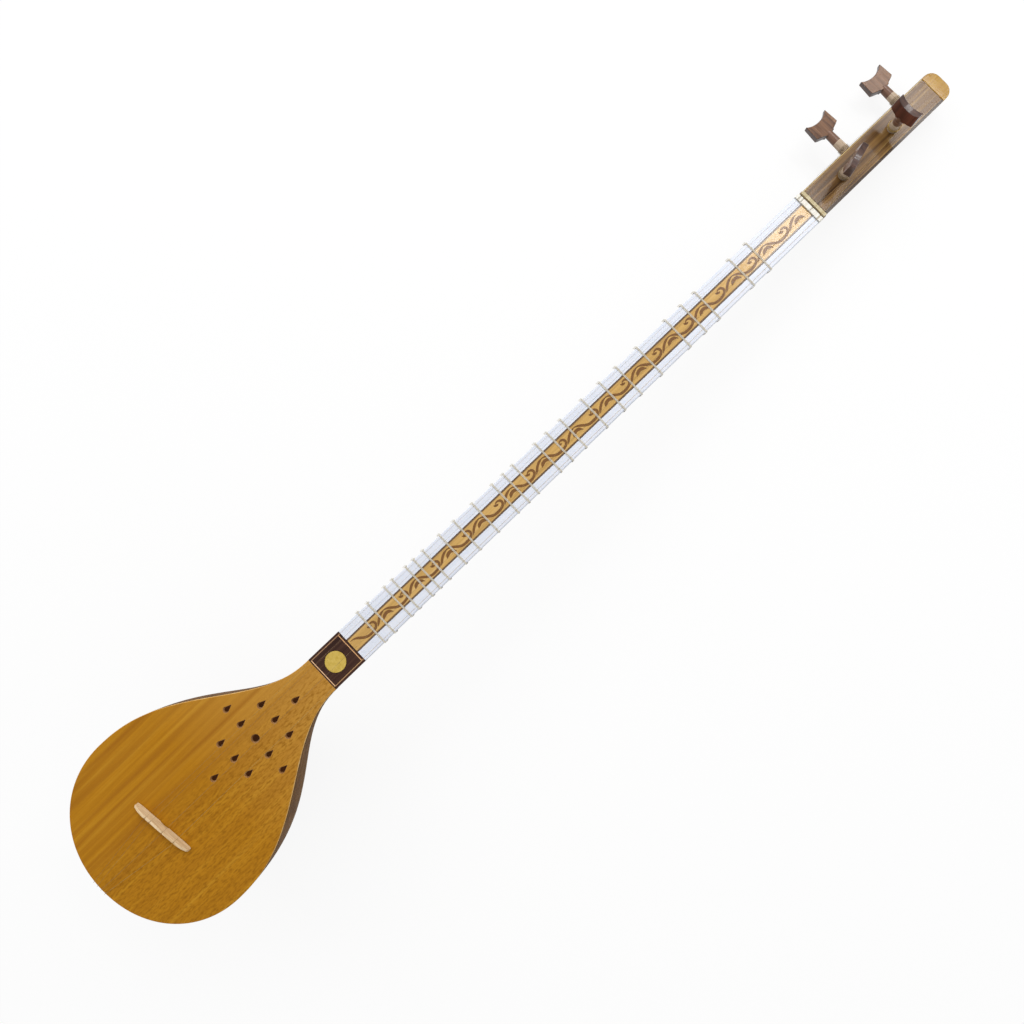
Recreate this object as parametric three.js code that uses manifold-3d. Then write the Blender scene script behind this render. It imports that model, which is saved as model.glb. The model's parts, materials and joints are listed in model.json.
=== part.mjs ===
import * as THREE from "three";
import { mergeVertices } from "three/addons/utils/BufferGeometryUtils.js";
import Module from "manifold-3d";

const wasm = await Module();
wasm.setup();

// A setar: a long-necked lute with a ribbed bowl, movable tied frets and four strings.
// The instrument's own frame has x from the tail to the headstock's tip, y to the side pegs
// and z = 0 at the playing face. Lengths are in millimetres.

// Main lengths along the instrument
const SCALE_LENGTH = 658;
const BRIDGE_FROM_TAIL = 65.5;
const BOARD_LENGTH = 227;
const HEAD_LENGTH = 137;

// Clearances: between glued pieces, and round pieces that slide or turn
const SEAT_GAP = 0.3;
const RUNNING_GAP = 0.3;
const CUT_OVERRUN = 2;

// Bowl and soundboard
const BOARD_WIDTH = 153;
const BOARD_THICKNESS = 2.5;
const WIDEST_FROM_TAIL = 71;
const BOWL_DEPTH = 127;
const DEEPEST_FROM_TAIL = 83;
const WIDTH_TAIL_POWER = 2.08;
const WIDTH_SHOULDER_POWERS = [2.26, 2.49];
const DEPTH_TAIL_POWER = 2.1;
const DEPTH_SHOULDER_POWERS = [1.7, 1.88];
const BOWL_ROUNDNESS = 2.48;
const RIB_COUNT = 7;
const RIB_THICKNESS = 2.6;
const TAIL_OPENING_FROM_TAIL = 2.4;
const TAIL_FACE_FROM_TAIL = 0.4;
const BRACE_FROM_TAIL = 98;
const BRACE_WIDTH = 6;
const BRACE_HEIGHT = 9;
const BRACE_END_SHARE = 0.45;

// Sound holes: a diamond of teardrops round one round hole
const HOLE_CENTRE_SHARE = 0.7;
const HOLE_PITCH_ALONG = 20.7;
const HOLE_PITCH_ACROSS = 15.2;
const HOLE_RINGS = 2;
const TEARDROP_LENGTH = 7.5;
const TEARDROP_WIDTH = 4.4;
const ROUND_HOLE_DIAMETER = 6.3;

// Neck, with its depth from the playing face to the back
const NECK_HEEL_WIDTH = 29.8;
const NECK_NUT_WIDTH = 25.7;
const NECK_HEEL_DEPTH = 27;
const NECK_NUT_DEPTH = 21;
const NECK_ROUNDNESS = 2.2;
const STRIP_THICKNESS = 2;
const CENTRE_STRIP_WIDTH = 12;
const BONE_EDGE_CHAMFER = 0.7;
const PLATE_LENGTH = 30;
const DISC_DIAMETER = 16;
const DISC_TOWARDS_TAIL = 1.6;
const TENON_LENGTH = 12;
const TENON_WIDTH_SHARE = 0.4;
const TENON_HEIGHT_SHARE = 0.4;

// Tied frets, as musical intervals above the open string
const FRET_CENTS = [
  140, 190, 296, 340, 392, 491, 566, 628, 698, 785, 844, 895, 999,
  1045, 1099, 1203, 1305, 1390, 1491, 1551, 1603, 1696, 1753, 1882, 1963,
];
const CENTS_PER_OCTAVE = 1200;
const FRET_WIDTH = 1.6;
const FRET_THICKNESS = 0.6;
const KNOT_WIDTH = 2.4;
const KNOT_HEIGHT = 1.2;
const KNOT_DROP = 2;

// Nut, headstock and cap
const NUT_THICKNESS = 3.7;
const NUT_LENGTH = 26.2;
const NUT_HEIGHT = 1.5;
const NUT_SLOT = 2.2;
const END_STRIP_LENGTH = 2.5;
const HEAD_START_WIDTH = 24.4;
const HEAD_TIP_WIDTH = 23;
const HEAD_START_DEPTH = 25;
const HEAD_TIP_DEPTH = 22;
const HEAD_ROUNDNESS = 3;
const CAP_LENGTH = 11;
const CAP_CORNER_RADIUS = 7.5;

// Pegs
const PEG_FRONT_SHARES = [0.258, 0.622];
const PEG_SIDE_SHARES = [0.407, 0.796];
const PEG_SHANK_DIAMETER = 7.6;
const PEG_WAIST_DIAMETER = 6.4;
const PEG_TIP_DIAMETER = 5.8;
const PEG_TIP_SETBACK = 0.6;
const PEG_FRONT_NECK_LENGTHS = [15.5, 15.5];
const PEG_SIDE_NECK_LENGTHS = [18.3, 14.8];
const SIDE_PEG_AXIS_DEPTH = 11.5;
const PEG_HEAD_WIDTH = 20.4;
const PEG_HEAD_HEIGHT = 15.5;
const PEG_WAIST_THICKNESS = 7.4;
const PEG_HORN_THICKNESS = 4.6;
const PEG_HEAD_BEVEL = 0.6;
const PEG_FRONT_TURNS_DEG = [17, 90];
const PEG_SIDE_TURNS_DEG = [0, 0];

// Bridge
const BRIDGE_LENGTH = 51.8;
const BRIDGE_BASE_WIDTH = 3.4;
const BRIDGE_CREST_WIDTH = 1.8;
const BRIDGE_HEIGHT = 7.5;
const BRIDGE_SKEW_DEG = 6.7;
const BRIDGE_SLIDE = 2;
const NOTCH_DEPTH = 0.7;

// Strings, from the side-peg edge to the other edge
const STRING_DIAMETERS = [0.3, 0.3, 0.34, 0.42];
const STRING_NUT_SHARES = [0.78, 0.56, -0.14, -0.75];
const STRING_BRIDGE_SHARES = [0.51, 0.34, -0.12, -0.54];
const STRING_TAIL_SHARES = [0.66, 0.22, -0.22, -0.66];
const STRING_OVER_SHARE = 0.4;
const WINDING_TURNS = 3;
const WINDING_PITCH = 0.95;
const STRING_REST_HEIGHT = 0.8;

// Hooks of the tailpiece
const HOOK_LENGTH = 2;
const HOOK_DIAMETER = 1.6;
const HOOK_DEPTH_SHARE = 0.35;

// Steps of the curved surfaces
const SECTION_STEPS = 13;
const TAIL_BLOCK_STATIONS = 3;
const NECK_BLOCK_STATIONS = 2;
const TAIL_STATIONS = 6;
const SHOULDER_STATIONS = 10;
const OUTLINE_FINENESS = 2;
const RIB_STEPS = 3;
const ROUND_HOLE_STEPS = 6;
const TEARDROP_STEPS = 4;
const KNOT_STEPS = [6, 4];
const NOTCH_SIDES = 4;
const HOLLOW_STEPS = 6;
const CAP_STATIONS = 5;
const SHANK_SIDES = 12;
const HOLE_SIDES = 16;
const TURN_STEPS = 24;
const WIRE_SIDES = 6;
const SLOPE_STEP = 0.01;
const TILT_TRIALS = 40;
const STEEPEST_TILT_DEG = 45;

// Places that follow from the sizes above
const NUT_X = BRIDGE_FROM_TAIL + SCALE_LENGTH;
const TIP_X = NUT_X + HEAD_LENGTH;
const PLATE_END = BOARD_LENGTH + SEAT_GAP + PLATE_LENGTH;
const HEAD_START = NUT_X + NUT_THICKNESS / 2 + NUT_SLOT + END_STRIP_LENGTH;
const CAP_START = TIP_X - CAP_LENGTH;
const RIM_Z = -(BOARD_THICKNESS + SEAT_GAP);
const SHAFT_TOP = -(STRIP_THICKNESS + SEAT_GAP);
const STRING_AT_NUT = NUT_HEIGHT;
const STRING_AT_BRIDGE = SEAT_GAP + BRIDGE_HEIGHT;
const BRIDGE_SKEW = THREE.MathUtils.degToRad(BRIDGE_SKEW_DEG);
const LARGEST_STRING = Math.max(...STRING_DIAMETERS);

const lerp = THREE.MathUtils.lerp;

// Finishes
const finish = (color, roughness, metalness = 0) =>
  new THREE.MeshStandardMaterial({ color, roughness, metalness });
const MULBERRY = finish(0xb9842c, 0.45);
const BOWL_WOOD = finish(0x7a5c3c, 0.4);
const INNER_WOOD = finish(0xc9a878, 0.7);
const WALNUT = finish(0x6b4a2c, 0.35);
const DARK_PLATE = finish(0x4a2f28, 0.35);
const GOLDEN_DISC = finish(0xc9ae4a, 0.4);
const GOLDEN_STRIP = finish(0xc08f33, 0.45);
const BONE = finish(0xe9eaf0, 0.3);
const CREAM_BONE = finish(0xd9cda8, 0.4);
const CAP_YELLOW = finish(0xdca640, 0.35);
const PEG_WOOD = finish(0x6a4638, 0.3);
const BRIDGE_WOOD = finish(0xd9b98a, 0.6);
const GUT = finish(0xb9b6a2, 0.6);
const STEEL = finish(0xd0d0d0, 0.25, 1);
const BRASS = finish(0xc8a24a, 0.3, 1);

// Solids

// Turns every face outwards, whichever way round the surface was made.
function facingOut(geometry) {
  const p = geometry.attributes.position;
  const index = geometry.index.array;
  const corners = [new THREE.Vector3(), new THREE.Vector3(), new THREE.Vector3()];
  let volume = 0;
  for (let i = 0; i < index.length; i += 3) {
    corners.forEach((corner, j) => corner.fromBufferAttribute(p, index[i + j]));
    volume += corners[0].dot(corners[1].cross(corners[2]));
  }
  if (volume < 0) {
    geometry.setIndex(Array.from(index).reverse());
  }
  return geometry;
}

// A closed body through rings of points. Each end is closed by quads straight across its ring.
function loft(rings) {
  const count = rings[0].length;
  const last = (rings.length - 1) * count;
  const faces = [];
  const quad = (a, b, c, d) => faces.push(a, b, c, a, c, d);
  for (let i = 0; i < last; i += count) {
    for (let j = 0; j < count; j++) {
      const next = (j + 1) % count;
      quad(i + j, i + next, i + count + next, i + count + j);
    }
  }
  for (let j = 0, across = count - 1; j + 1 < across; j++, across--) {
    faces.push(j, across, across - 1);
    faces.push(last + j, last + across - 1, last + across);
    if (j + 1 < across - 1) {
      faces.push(j, across - 1, j + 1);
      faces.push(last + j, last + j + 1, last + across - 1);
    }
  }
  const geometry = new THREE.BufferGeometry();
  const positions = rings.flat().flatMap((p) => p.toArray());
  geometry.setAttribute("position", new THREE.Float32BufferAttribute(positions, 3));
  geometry.setIndex(faces);
  return facingOut(geometry);
}

// A flat outline in x and y, with its top at a height and its thickness below.
function slab(shape, top, thickness) {
  const geometry = new THREE.ExtrudeGeometry(shape, { depth: thickness, bevelEnabled: false });
  return geometry.translate(0, 0, top - thickness);
}

// A cross section drawn in y and z, extruded along x.
function alongX(shape, from, to) {
  const geometry = new THREE.ExtrudeGeometry(shape, { depth: to - from, bevelEnabled: false });
  const turn = new THREE.Matrix4().makeBasis(
    new THREE.Vector3(0, 1, 0),
    new THREE.Vector3(0, 0, 1),
    new THREE.Vector3(1, 0, 0),
  );
  return geometry.applyMatrix4(turn).translate(from, 0, 0);
}

// A box from its two corners.
function block(low, high) {
  const size = new THREE.Vector3().subVectors(high, low);
  const centre = new THREE.Vector3().addVectors(low, high).divideScalar(2);
  return new THREE.BoxGeometry(...size).translate(...centre);
}

// A round wire of one diameter along a list of points.
function wire(points, diameter) {
  const radius = diameter / 2;
  const rings = [];
  let side = new THREE.Vector3(0, 1, 0);
  points.forEach((point, i) => {
    const before = points[Math.max(i - 1, 0)];
    const after = points[Math.min(i + 1, points.length - 1)];
    const inward = new THREE.Vector3().subVectors(point, before).normalize();
    const outward = new THREE.Vector3().subVectors(after, point).normalize();
    const along = new THREE.Vector3().addVectors(inward, outward).normalize();
    side = side.addScaledVector(along, -side.dot(along)).normalize();
    const up = new THREE.Vector3().crossVectors(along, side);
    const ring = [];
    for (let j = 0; j < WIRE_SIDES; j++) {
      const angle = ((j + 0.5) / WIRE_SIDES) * 2 * Math.PI;
      const around = side.clone().multiplyScalar(Math.cos(angle) * radius);
      ring.push(around.addScaledVector(up, Math.sin(angle) * radius).add(point));
    }
    rings.push(ring);
  });
  return loft(rings);
}

// A geometry as a solid that can be joined and cut, and back.
function solid(geometry) {
  const bare = geometry.clone();
  bare.deleteAttribute("normal");
  bare.deleteAttribute("uv");
  const merged = mergeVertices(bare);
  return new wasm.Manifold(
    new wasm.Mesh({
      numProp: 3,
      vertProperties: merged.attributes.position.array,
      triVerts: new Uint32Array(merged.index.array),
    }),
  );
}

function geometryOf(body) {
  const mesh = body.getMesh();
  const geometry = new THREE.BufferGeometry();
  geometry.setAttribute("position", new THREE.BufferAttribute(mesh.vertProperties, 3));
  geometry.setIndex(new THREE.BufferAttribute(mesh.triVerts, 1));
  return geometry;
}

function part(name, geometry, material) {
  geometry.computeVertexNormals();
  const mesh = new THREE.Mesh(geometry, material);
  mesh.name = name;
  return mesh;
}

// Half of a cross section's outline below its flat face: a superellipse from +y round to -y.
class Section extends THREE.Curve {
  constructor(halfWidth, depth, roundness) {
    super();
    this.halfWidth = halfWidth;
    this.depth = depth;
    this.power = 2 / roundness;
  }

  getPoint(t, target = new THREE.Vector2()) {
    const across = Math.cos(t * Math.PI);
    const down = Math.max(Math.sin(t * Math.PI), 0);
    const y = Math.sign(across) * Math.abs(across) ** this.power * this.halfWidth;
    return target.set(y, -(down ** this.power) * this.depth);
  }

  ring(x, top, steps) {
    const points = [];
    for (let i = 0; i <= steps; i++) {
      const p = this.getPointAt(i / steps);
      points.push(new THREE.Vector3(x, p.x, top + p.y));
    }
    return points;
  }
}

// Bowl

// How far the body swells at x: round at the tail, fullest at one place, drawn in to the neck.
function swell(x, fullest, most, least, tailPower, [inner, outer]) {
  if (x <= fullest) {
    return most * (1 - ((fullest - x) / fullest) ** tailPower) ** (1 / tailPower);
  }
  const share = Math.min((x - fullest) / (BOARD_LENGTH - fullest), 1);
  return least + (most - least) * (1 - share ** inner) ** outer;
}

const bodyHalfWidth = (x) =>
  swell(x, WIDEST_FROM_TAIL, BOARD_WIDTH / 2, NECK_HEEL_WIDTH / 2, WIDTH_TAIL_POWER, WIDTH_SHOULDER_POWERS);

const bodyDepth = (x) =>
  swell(
    x,
    DEEPEST_FROM_TAIL,
    BOWL_DEPTH + RIM_Z,
    NECK_HEEL_DEPTH + RIM_Z,
    DEPTH_TAIL_POWER,
    DEPTH_SHOULDER_POWERS,
  );

// Stations along the body, closer together at the round tail.
function stationsFrom(start, tailSteps, shoulderSteps) {
  const stations = [];
  const first = Math.acos(1 - start / WIDEST_FROM_TAIL);
  for (let i = 0; i < tailSteps; i++) {
    const angle = lerp(first, Math.PI / 2, i / tailSteps);
    stations.push(WIDEST_FROM_TAIL * (1 - Math.cos(angle)));
  }
  for (let i = 0; i <= shoulderSteps; i++) {
    stations.push(lerp(WIDEST_FROM_TAIL, BOARD_LENGTH, i / shoulderSteps));
  }
  return stations;
}

// The point of the bowl's surface at x, a share of the way round, moved in by an inset.
function bowlPoint(x, section, share, inset) {
  const p = section.getPointAt(share);
  const roundness = BOWL_ROUNDNESS;
  const slope = (size) => (size(x + SLOPE_STEP) - size(x - SLOPE_STEP)) / (2 * SLOPE_STEP);
  const across = Math.abs(p.x) / section.halfWidth;
  const down = -p.y / section.depth;
  const outward = new THREE.Vector3(
    (-(across ** roundness) * slope(bodyHalfWidth)) / section.halfWidth -
      (down ** roundness * slope(bodyDepth)) / section.depth,
    (Math.sign(p.x) * across ** (roundness - 1)) / section.halfWidth,
    -(down ** (roundness - 1)) / section.depth,
  ).normalize();
  return new THREE.Vector3(x, p.x, RIM_Z + p.y).addScaledVector(outward, -inset);
}

const bowlSection = (x) => new Section(bodyHalfWidth(x), bodyDepth(x), BOWL_ROUNDNESS);

const BOWL_STATIONS = stationsFrom(TAIL_OPENING_FROM_TAIL, TAIL_STATIONS, SHOULDER_STATIONS);

// One bent stave, between two lines that run from the tail to the neck.
function ribGeometry(index) {
  return loft(
    BOWL_STATIONS.map((x) => {
      const section = bowlSection(x);
      const gapShare = SEAT_GAP / 2 / section.getLength();
      const from = index / RIB_COUNT + gapShare;
      const to = (index + 1) / RIB_COUNT - gapShare;
      const outer = [];
      const inner = [];
      for (let i = 0; i <= RIB_STEPS; i++) {
        const share = lerp(from, to, i / RIB_STEPS);
        outer.push(bowlPoint(x, section, share, 0));
        inner.push(bowlPoint(x, section, share, RIB_THICKNESS));
      }
      return [...outer, ...inner.reverse()];
    }),
  );
}

// A block glued inside the bowl, so its sides follow the staves.
function innerBlock(stations) {
  const steps = RIB_COUNT * RIB_STEPS;
  return loft(
    stations.map((x) => {
      const section = bowlSection(x);
      const ring = [];
      for (let i = 0; i <= steps; i++) {
        ring.push(bowlPoint(x, section, i / steps, RIB_THICKNESS + SEAT_GAP));
      }
      return ring;
    }),
  );
}

const tailBlockGeometry = () => innerBlock(BOWL_STATIONS.slice(0, TAIL_BLOCK_STATIONS));

function neckBlockGeometry() {
  const body = solid(innerBlock(BOWL_STATIONS.slice(-NECK_BLOCK_STATIONS)));
  return geometryOf(body.subtract(solid(tenon(BOARD_LENGTH, -1, RUNNING_GAP))));
}

function soundHole(x, y, isRound) {
  const path = new THREE.Path();
  if (isRound) {
    path.absarc(x, y, ROUND_HOLE_DIAMETER / 2, 0, 2 * Math.PI);
    return new THREE.Path(path.getPoints(ROUND_HOLE_STEPS));
  }
  const radius = TEARDROP_WIDTH / 2;
  const centre = x - TEARDROP_LENGTH / 2 + radius;
  path.absarc(centre, y, radius, Math.PI / 3, (5 * Math.PI) / 3);
  const tip = new THREE.Vector2(x + TEARDROP_LENGTH / 2, y);
  return new THREE.Path([...path.getPoints(TEARDROP_STEPS), tip]);
}

function soundboardGeometry() {
  const stations = stationsFrom(0, TAIL_STATIONS * OUTLINE_FINENESS, SHOULDER_STATIONS * OUTLINE_FINENESS);
  const right = stations.map((x) => new THREE.Vector2(x, -bodyHalfWidth(x)));
  const left = stations.slice(1).map((x) => new THREE.Vector2(x, bodyHalfWidth(x)));
  const shape = new THREE.Shape([...right, ...left.reverse()]);
  for (let column = -HOLE_RINGS; column <= HOLE_RINGS; column++) {
    const rows = HOLE_RINGS - Math.abs(column);
    for (let row = -rows; row <= rows; row++) {
      const x = HOLE_CENTRE_SHARE * BOARD_LENGTH + column * HOLE_PITCH_ALONG;
      shape.holes.push(soundHole(x, row * HOLE_PITCH_ACROSS, column === 0 && row === 0));
    }
  }
  return slab(shape, 0, BOARD_THICKNESS);
}

// The bar under the soundboard, thinned towards its ends.
function braceGeometry() {
  const end = BRACE_FROM_TAIL + BRACE_WIDTH / 2;
  const half = bodyHalfWidth(end) - RIB_THICKNESS - 2 * SEAT_GAP;
  const shape = new THREE.Shape();
  shape.moveTo(-half, 0);
  shape.lineTo(-half, -BRACE_HEIGHT * BRACE_END_SHARE);
  shape.lineTo(-half / 2, -BRACE_HEIGHT);
  shape.lineTo(half / 2, -BRACE_HEIGHT);
  shape.lineTo(half, -BRACE_HEIGHT * BRACE_END_SHARE);
  shape.lineTo(half, 0);
  return alongX(shape, BRACE_FROM_TAIL - BRACE_WIDTH / 2, end).translate(0, 0, RIM_Z);
}

// Neck

const neckShare = (x) => (x - BOARD_LENGTH) / (NUT_X - BOARD_LENGTH);
const neckHalfWidth = (x) => lerp(NECK_HEEL_WIDTH, NECK_NUT_WIDTH, neckShare(x)) / 2;
const neckDepth = (x) => lerp(NECK_HEEL_DEPTH, NECK_NUT_DEPTH, neckShare(x));

// The tenon at one end of the shaft, grown by a clearance for its mortise.
function tenon(x, direction, clearance) {
  const half = neckHalfWidth(x) * TENON_WIDTH_SHARE + clearance;
  const depth = neckDepth(x) + SHAFT_TOP;
  const middle = SHAFT_TOP - depth / 2;
  const tall = (depth * TENON_HEIGHT_SHARE) / 2 + clearance;
  const tip = x + direction * (TENON_LENGTH + SEAT_GAP + clearance);
  const root = x - direction * CUT_OVERRUN;
  return block(
    new THREE.Vector3(Math.min(root, tip), -half, middle - tall),
    new THREE.Vector3(Math.max(root, tip), half, middle + tall),
  );
}

function neckShaftGeometry() {
  const heel = BOARD_LENGTH + SEAT_GAP;
  const rings = [heel, HEAD_START].map((x) =>
    new Section(neckHalfWidth(x), neckDepth(x) + SHAFT_TOP, NECK_ROUNDNESS).ring(x, SHAFT_TOP, SECTION_STEPS),
  );
  const tenons = solid(tenon(heel, -1, 0)).add(solid(tenon(HEAD_START, 1, 0)));
  return geometryOf(solid(loft(rings)).add(tenons));
}

// A strip of the neck's face between two edges, each given as a function of x.
function taperedSlab(from, to, leftEdge, rightEdge, hole) {
  const shape = new THREE.Shape([
    new THREE.Vector2(from, rightEdge(from)),
    new THREE.Vector2(to, rightEdge(to)),
    new THREE.Vector2(to, leftEdge(to)),
    new THREE.Vector2(from, leftEdge(from)),
  ]);
  if (hole) {
    shape.holes.push(hole);
  }
  return slab(shape, 0, STRIP_THICKNESS);
}

const STRIPS_START = PLATE_END + SEAT_GAP;
const STRIPS_END = NUT_X - NUT_THICKNESS / 2 - SEAT_GAP;

function centreStripGeometry() {
  const half = CENTRE_STRIP_WIDTH / 2;
  return taperedSlab(STRIPS_START, STRIPS_END, () => half, () => -half);
}

// A bone strip with its outer edge eased, on one side of the neck.
function boneStripGeometry(side) {
  const rings = [STRIPS_START, STRIPS_END].map((x) => {
    const inner = CENTRE_STRIP_WIDTH / 2 + SEAT_GAP;
    const outer = neckHalfWidth(x);
    const eased = outer - BONE_EDGE_CHAMFER;
    return [
      [inner, 0],
      [eased, 0],
      [outer, -BONE_EDGE_CHAMFER],
      [outer, -STRIP_THICKNESS],
      [eased, -STRIP_THICKNESS],
      [inner, -STRIP_THICKNESS],
    ].map(([y, z]) => new THREE.Vector3(x, side * y, z));
  });
  return loft(rings);
}

function discOutline(diameter) {
  const x = BOARD_LENGTH + SEAT_GAP + PLATE_LENGTH / 2 - DISC_TOWARDS_TAIL;
  const path = new THREE.Path();
  path.absarc(x, 0, diameter / 2, 0, 2 * Math.PI);
  return path.getPoints(HOLE_SIDES);
}

const plateGeometry = () =>
  taperedSlab(
    BOARD_LENGTH + SEAT_GAP,
    PLATE_END,
    (x) => neckHalfWidth(x),
    (x) => -neckHalfWidth(x),
    new THREE.Path(discOutline(DISC_DIAMETER + 2 * SEAT_GAP)),
  );

// A gut tie round the neck: a band with the neck's own section, and its knot at the edge.
function fretGeometry(x) {
  const outline = (offset) => {
    const section = new Section(neckHalfWidth(x) + offset, neckDepth(x) + SHAFT_TOP + offset, NECK_ROUNDNESS);
    const around = section.ring(0, SHAFT_TOP, SECTION_STEPS).map((p) => new THREE.Vector2(p.y, p.z));
    const corner = neckHalfWidth(x) + offset;
    return [new THREE.Vector2(-corner, offset), new THREE.Vector2(corner, offset), ...around].reverse();
  };
  const outer = RUNNING_GAP + FRET_THICKNESS;
  const shape = new THREE.Shape(outline(outer));
  shape.holes.push(new THREE.Path(outline(RUNNING_GAP)));
  const band = alongX(shape, -FRET_WIDTH / 2, FRET_WIDTH / 2);
  const knot = new THREE.SphereGeometry(1, ...KNOT_STEPS);
  knot.scale(KNOT_WIDTH / 2, KNOT_HEIGHT, KNOT_WIDTH / 2);
  knot.translate(0, neckHalfWidth(x) + outer, -KNOT_DROP);
  const neckSpace = alongX(new THREE.Shape(outline(RUNNING_GAP)), -KNOT_WIDTH, KNOT_WIDTH);
  return geometryOf(solid(band).add(solid(knot).subtract(solid(neckSpace))));
}

const fretPlace = (cents) => NUT_X - SCALE_LENGTH * (1 - 2 ** (-cents / CENTS_PER_OCTAVE));

// Notches

// Cuts a V notch for each string, from the crest of a nut or bridge.
function notched(body, crest, halfLength, places) {
  return places.reduce((rest, { x, y }) => {
    const bar = new THREE.CylinderGeometry(NOTCH_DEPTH, NOTCH_DEPTH, 2 * halfLength, NOTCH_SIDES);
    bar.rotateZ(Math.PI / 2).translate(x, y, crest);
    return rest.subtract(solid(bar));
  }, body);
}

function nutGeometry() {
  const half = NUT_LENGTH / 2;
  const shape = new THREE.Shape();
  const ease = NUT_HEIGHT / 2;
  shape.moveTo(-half, -STRIP_THICKNESS);
  shape.lineTo(half, -STRIP_THICKNESS);
  shape.lineTo(half, NUT_HEIGHT - ease);
  shape.lineTo(half - ease, NUT_HEIGHT);
  shape.lineTo(ease - half, NUT_HEIGHT);
  shape.lineTo(-half, NUT_HEIGHT - ease);
  const bar = alongX(shape, -NUT_THICKNESS / 2, NUT_THICKNESS / 2);
  const places = STRING_NUT_SHARES.map((share) => ({ x: 0, y: share * half }));
  return geometryOf(notched(solid(bar), NUT_HEIGHT, NUT_THICKNESS, places));
}

// Bridge

const BRIDGE_STATION_SHARES = [-1, -0.96, -0.82, -0.62, 0, 0.62, 0.82, 0.96, 1];
const BRIDGE_HEIGHT_SHARES = [0.44, 0.6, 0.84, 1, 1, 1, 0.84, 0.6, 0.44];
const BRIDGE_WIDTH_SHARES = [0.66, 0.88, 1, 1, 1, 1, 1, 0.88, 0.66];
const BRIDGE_ARCH_SHARES = { length: 0.16, height: 0.12 };

// Where each string crosses the bridge: the bar is skewed, so x follows y.
const bridgeCrossings = STRING_BRIDGE_SHARES.map((share) => {
  const y = (share * BRIDGE_LENGTH) / 2;
  return { x: -y * Math.tan(BRIDGE_SKEW), y };
});

function bridgeGeometry() {
  const rings = BRIDGE_STATION_SHARES.map((share, i) => {
    const y = (share * BRIDGE_LENGTH) / 2;
    const base = (BRIDGE_BASE_WIDTH * BRIDGE_WIDTH_SHARES[i]) / 2;
    const crest = (BRIDGE_CREST_WIDTH * BRIDGE_WIDTH_SHARES[i]) / 2;
    const height = BRIDGE_HEIGHT * BRIDGE_HEIGHT_SHARES[i];
    return [
      new THREE.Vector3(-base, y, 0),
      new THREE.Vector3(base, y, 0),
      new THREE.Vector3(crest, y, height),
      new THREE.Vector3(-crest, y, height),
    ];
  });
  const arch = new THREE.CylinderGeometry(1, 1, 2 * BRIDGE_BASE_WIDTH, HOLE_SIDES);
  arch.rotateZ(Math.PI / 2);
  arch.scale(1, (BRIDGE_ARCH_SHARES.length * BRIDGE_LENGTH) / 2, BRIDGE_ARCH_SHARES.height * BRIDGE_HEIGHT);
  const bar = geometryOf(solid(loft(rings)).subtract(solid(arch))).rotateZ(BRIDGE_SKEW);
  return geometryOf(notched(solid(bar), BRIDGE_HEIGHT, BRIDGE_BASE_WIDTH, bridgeCrossings));
}

// Headstock

const headShare = (x) => (x - HEAD_START) / (TIP_X - HEAD_START);
const headHalfWidth = (x) => lerp(HEAD_START_WIDTH, HEAD_TIP_WIDTH, headShare(x)) / 2;
const headDepth = (x) => lerp(HEAD_START_DEPTH, HEAD_TIP_DEPTH, headShare(x));

function headRing(x, drawnIn) {
  const half = headHalfWidth(x) - drawnIn;
  return new Section(half, headDepth(x) - drawnIn, HEAD_ROUNDNESS).ring(x, 0, SECTION_STEPS);
}

// The four pegs: the foot is where the axis leaves the headstock's surface.
function pegPlaces() {
  const front = PEG_FRONT_SHARES.map((share, i) => {
    const x = NUT_X + share * HEAD_LENGTH;
    return {
      name: `peg_front_${i + 1}`,
      foot: [x, 0, 0],
      lean: 0,
      through: headDepth(x),
      neck: PEG_FRONT_NECK_LENGTHS[i],
      turn: PEG_FRONT_TURNS_DEG[i],
    };
  });
  const side = PEG_SIDE_SHARES.map((share, i) => {
    const x = NUT_X + share * HEAD_LENGTH;
    const half = headHalfWidth(x);
    return {
      name: `peg_side_${i + 1}`,
      foot: [x, half, -SIDE_PEG_AXIS_DEPTH],
      lean: -Math.PI / 2,
      through: 2 * half,
      neck: PEG_SIDE_NECK_LENGTHS[i],
      turn: PEG_SIDE_TURNS_DEG[i],
    };
  });
  return [...side, ...front];
}

const PEG_PLACES = pegPlaces();

// A shank, or the hole for one, turned about the peg's axis: thickest where it enters the headstock.
function shankGeometry(through, length, topDiameter, clearance, setback, sides) {
  const tip = PEG_TIP_DIAMETER / 2 + clearance;
  const profile = [
    new THREE.Vector2(0, setback - through),
    new THREE.Vector2(tip, setback - through),
    new THREE.Vector2(PEG_SHANK_DIAMETER / 2 + clearance, 0),
    new THREE.Vector2(topDiameter / 2 + clearance, length),
    new THREE.Vector2(0, length),
  ];
  return new THREE.LatheGeometry(profile, sides).rotateX(Math.PI / 2);
}

const PEG_OUTLINE_SHARES = { waist: 0.36, shoulder: 0.24, horn: 0.9, hollow: 0.69 };
const PEG_SHANK_RISE_SHARE = 0.12;

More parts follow.
